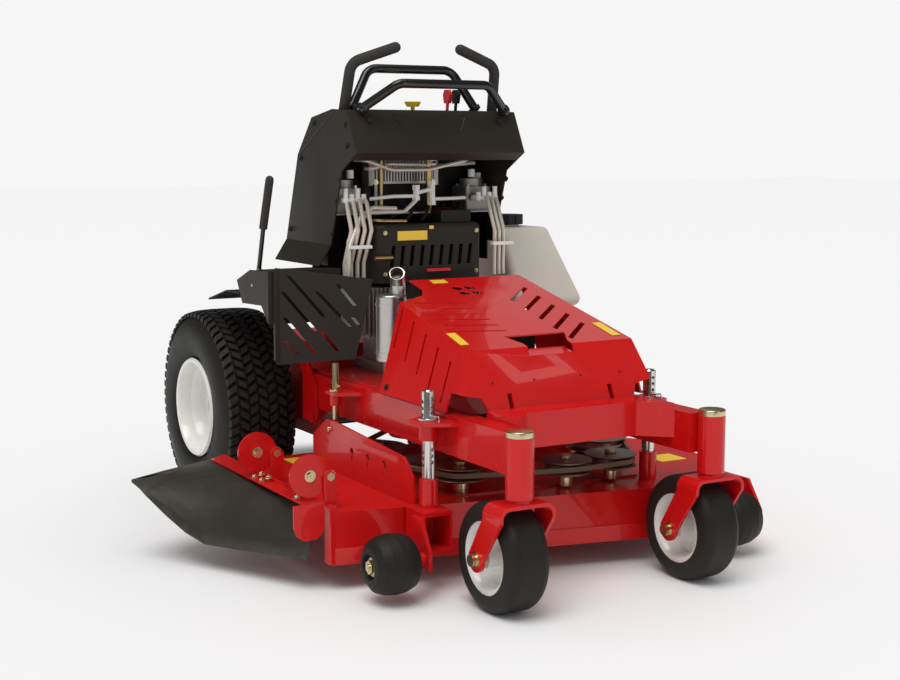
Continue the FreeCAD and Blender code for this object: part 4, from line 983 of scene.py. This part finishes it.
def makeCamera(look):
    data = bpy.data.cameras.new("camera")
    data.lens = look["lens"]
    data.sensor_width = 36.0
    camera = bpy.data.objects.new("camera", data)
    camera.location = at(*look["place"])
    camera.rotation_euler = (math.radians(90 - look["down"]), 0, math.radians(look["azimuth"]))
    bpy.context.scene.collection.objects.link(camera)
    bpy.context.scene.camera = camera


lampLooks = {
    "overhead": dict(place=(0.5, 0.3, 3.2), aim=(0.5, 0, 0.3), size=(2.6, 1.4), power=9),
    "keyRight": dict(place=(1.6, -3.2, 2.2), aim=(0.6, 0, 0.4), size=(1.4, 1.4), power=6),
    "frontFill": dict(place=(4.2, 1.4, 1.5), aim=(0.6, 0, 0.4), size=(0.5, 1.4), power=6),
    "farRim": dict(place=(-1.8, 2.6, 2.4), aim=(0.4, 0, 0.6), size=(1.4, 1.2), power=2.2),
}


def makeLamps(looks):
    for name, look in looks.items():
        data = bpy.data.lights.new(name, "AREA")
        data.shape = "RECTANGLE"
        data.size, data.size_y = look["size"]
        data.energy = look["power"]
        lamp = bpy.data.objects.new(name, data)
        lamp.visible_diffuse = False
        lamp.location = at(*look["place"])
        aim = at(*look["aim"]) - lamp.location
        lamp.rotation_euler = aim.to_track_quat("-Z", "Y").to_euler()
        bpy.context.scene.collection.objects.link(lamp)


def makeFloor():
    bm = bmesh.new()
    bmesh.ops.create_grid(bm, x_segments=1, y_segments=1, size=30)
    mesh = bpy.data.meshes.new("floor")
    bm.to_mesh(mesh)
    bm.free()
    floor = bpy.data.objects.new("floor", mesh)
    bpy.context.scene.collection.objects.link(floor)
    material = bpy.data.materials.new("paleFloor")
    material.use_nodes = True
    shader = material.node_tree.nodes["Principled BSDF"]
    shader.inputs["Base Color"].default_value = (0.93, 0.93, 0.93, 1)
    shader.inputs["Roughness"].default_value = 0.9
    shader.inputs["Specular IOR Level"].default_value = 0.1
    mesh.materials.append(material)


def makeWorld():  # pale where it is seen, darker where it lights or is mirrored
    world = bpy.data.worlds.new("studio")
    world.use_nodes = True
    tree = world.node_tree
    background = tree.nodes["Background"]
    background.inputs["Color"].default_value = (1, 1, 1, 1)
    path = tree.nodes.new("ShaderNodeLightPath")
    seen = mathNode(tree, "MULTIPLY", path.outputs["Is Camera Ray"], 0.925)
    spread = mathNode(tree, "MULTIPLY", path.outputs["Is Diffuse Ray"], 0.56)
    mirrored = mathNode(tree, "MULTIPLY", path.outputs["Is Glossy Ray"], 0.10)
    total = mathNode(tree, "ADD", mathNode(tree, "ADD", seen, spread), mirrored)
    tree.links.new(total, background.inputs["Strength"])
    bpy.context.scene.world = world


def makeSun():
    data = bpy.data.lights.new("evenSun", "SUN")
    data.energy = 1.55
    data.angle = math.radians(40)
    sun = bpy.data.objects.new("evenSun", data)
    sun.rotation_euler = Vector((-0.25, 0.35, -1)).to_track_quat("-Z", "Y").to_euler()
    bpy.context.scene.collection.objects.link(sun)


bpy.context.scene.view_settings.view_transform = "Standard"
makeCamera(cameraLook)
makeLamps(lampLooks)
makeFloor()
makeWorld()
makeSun()
print("camera, lamps and floor placed")
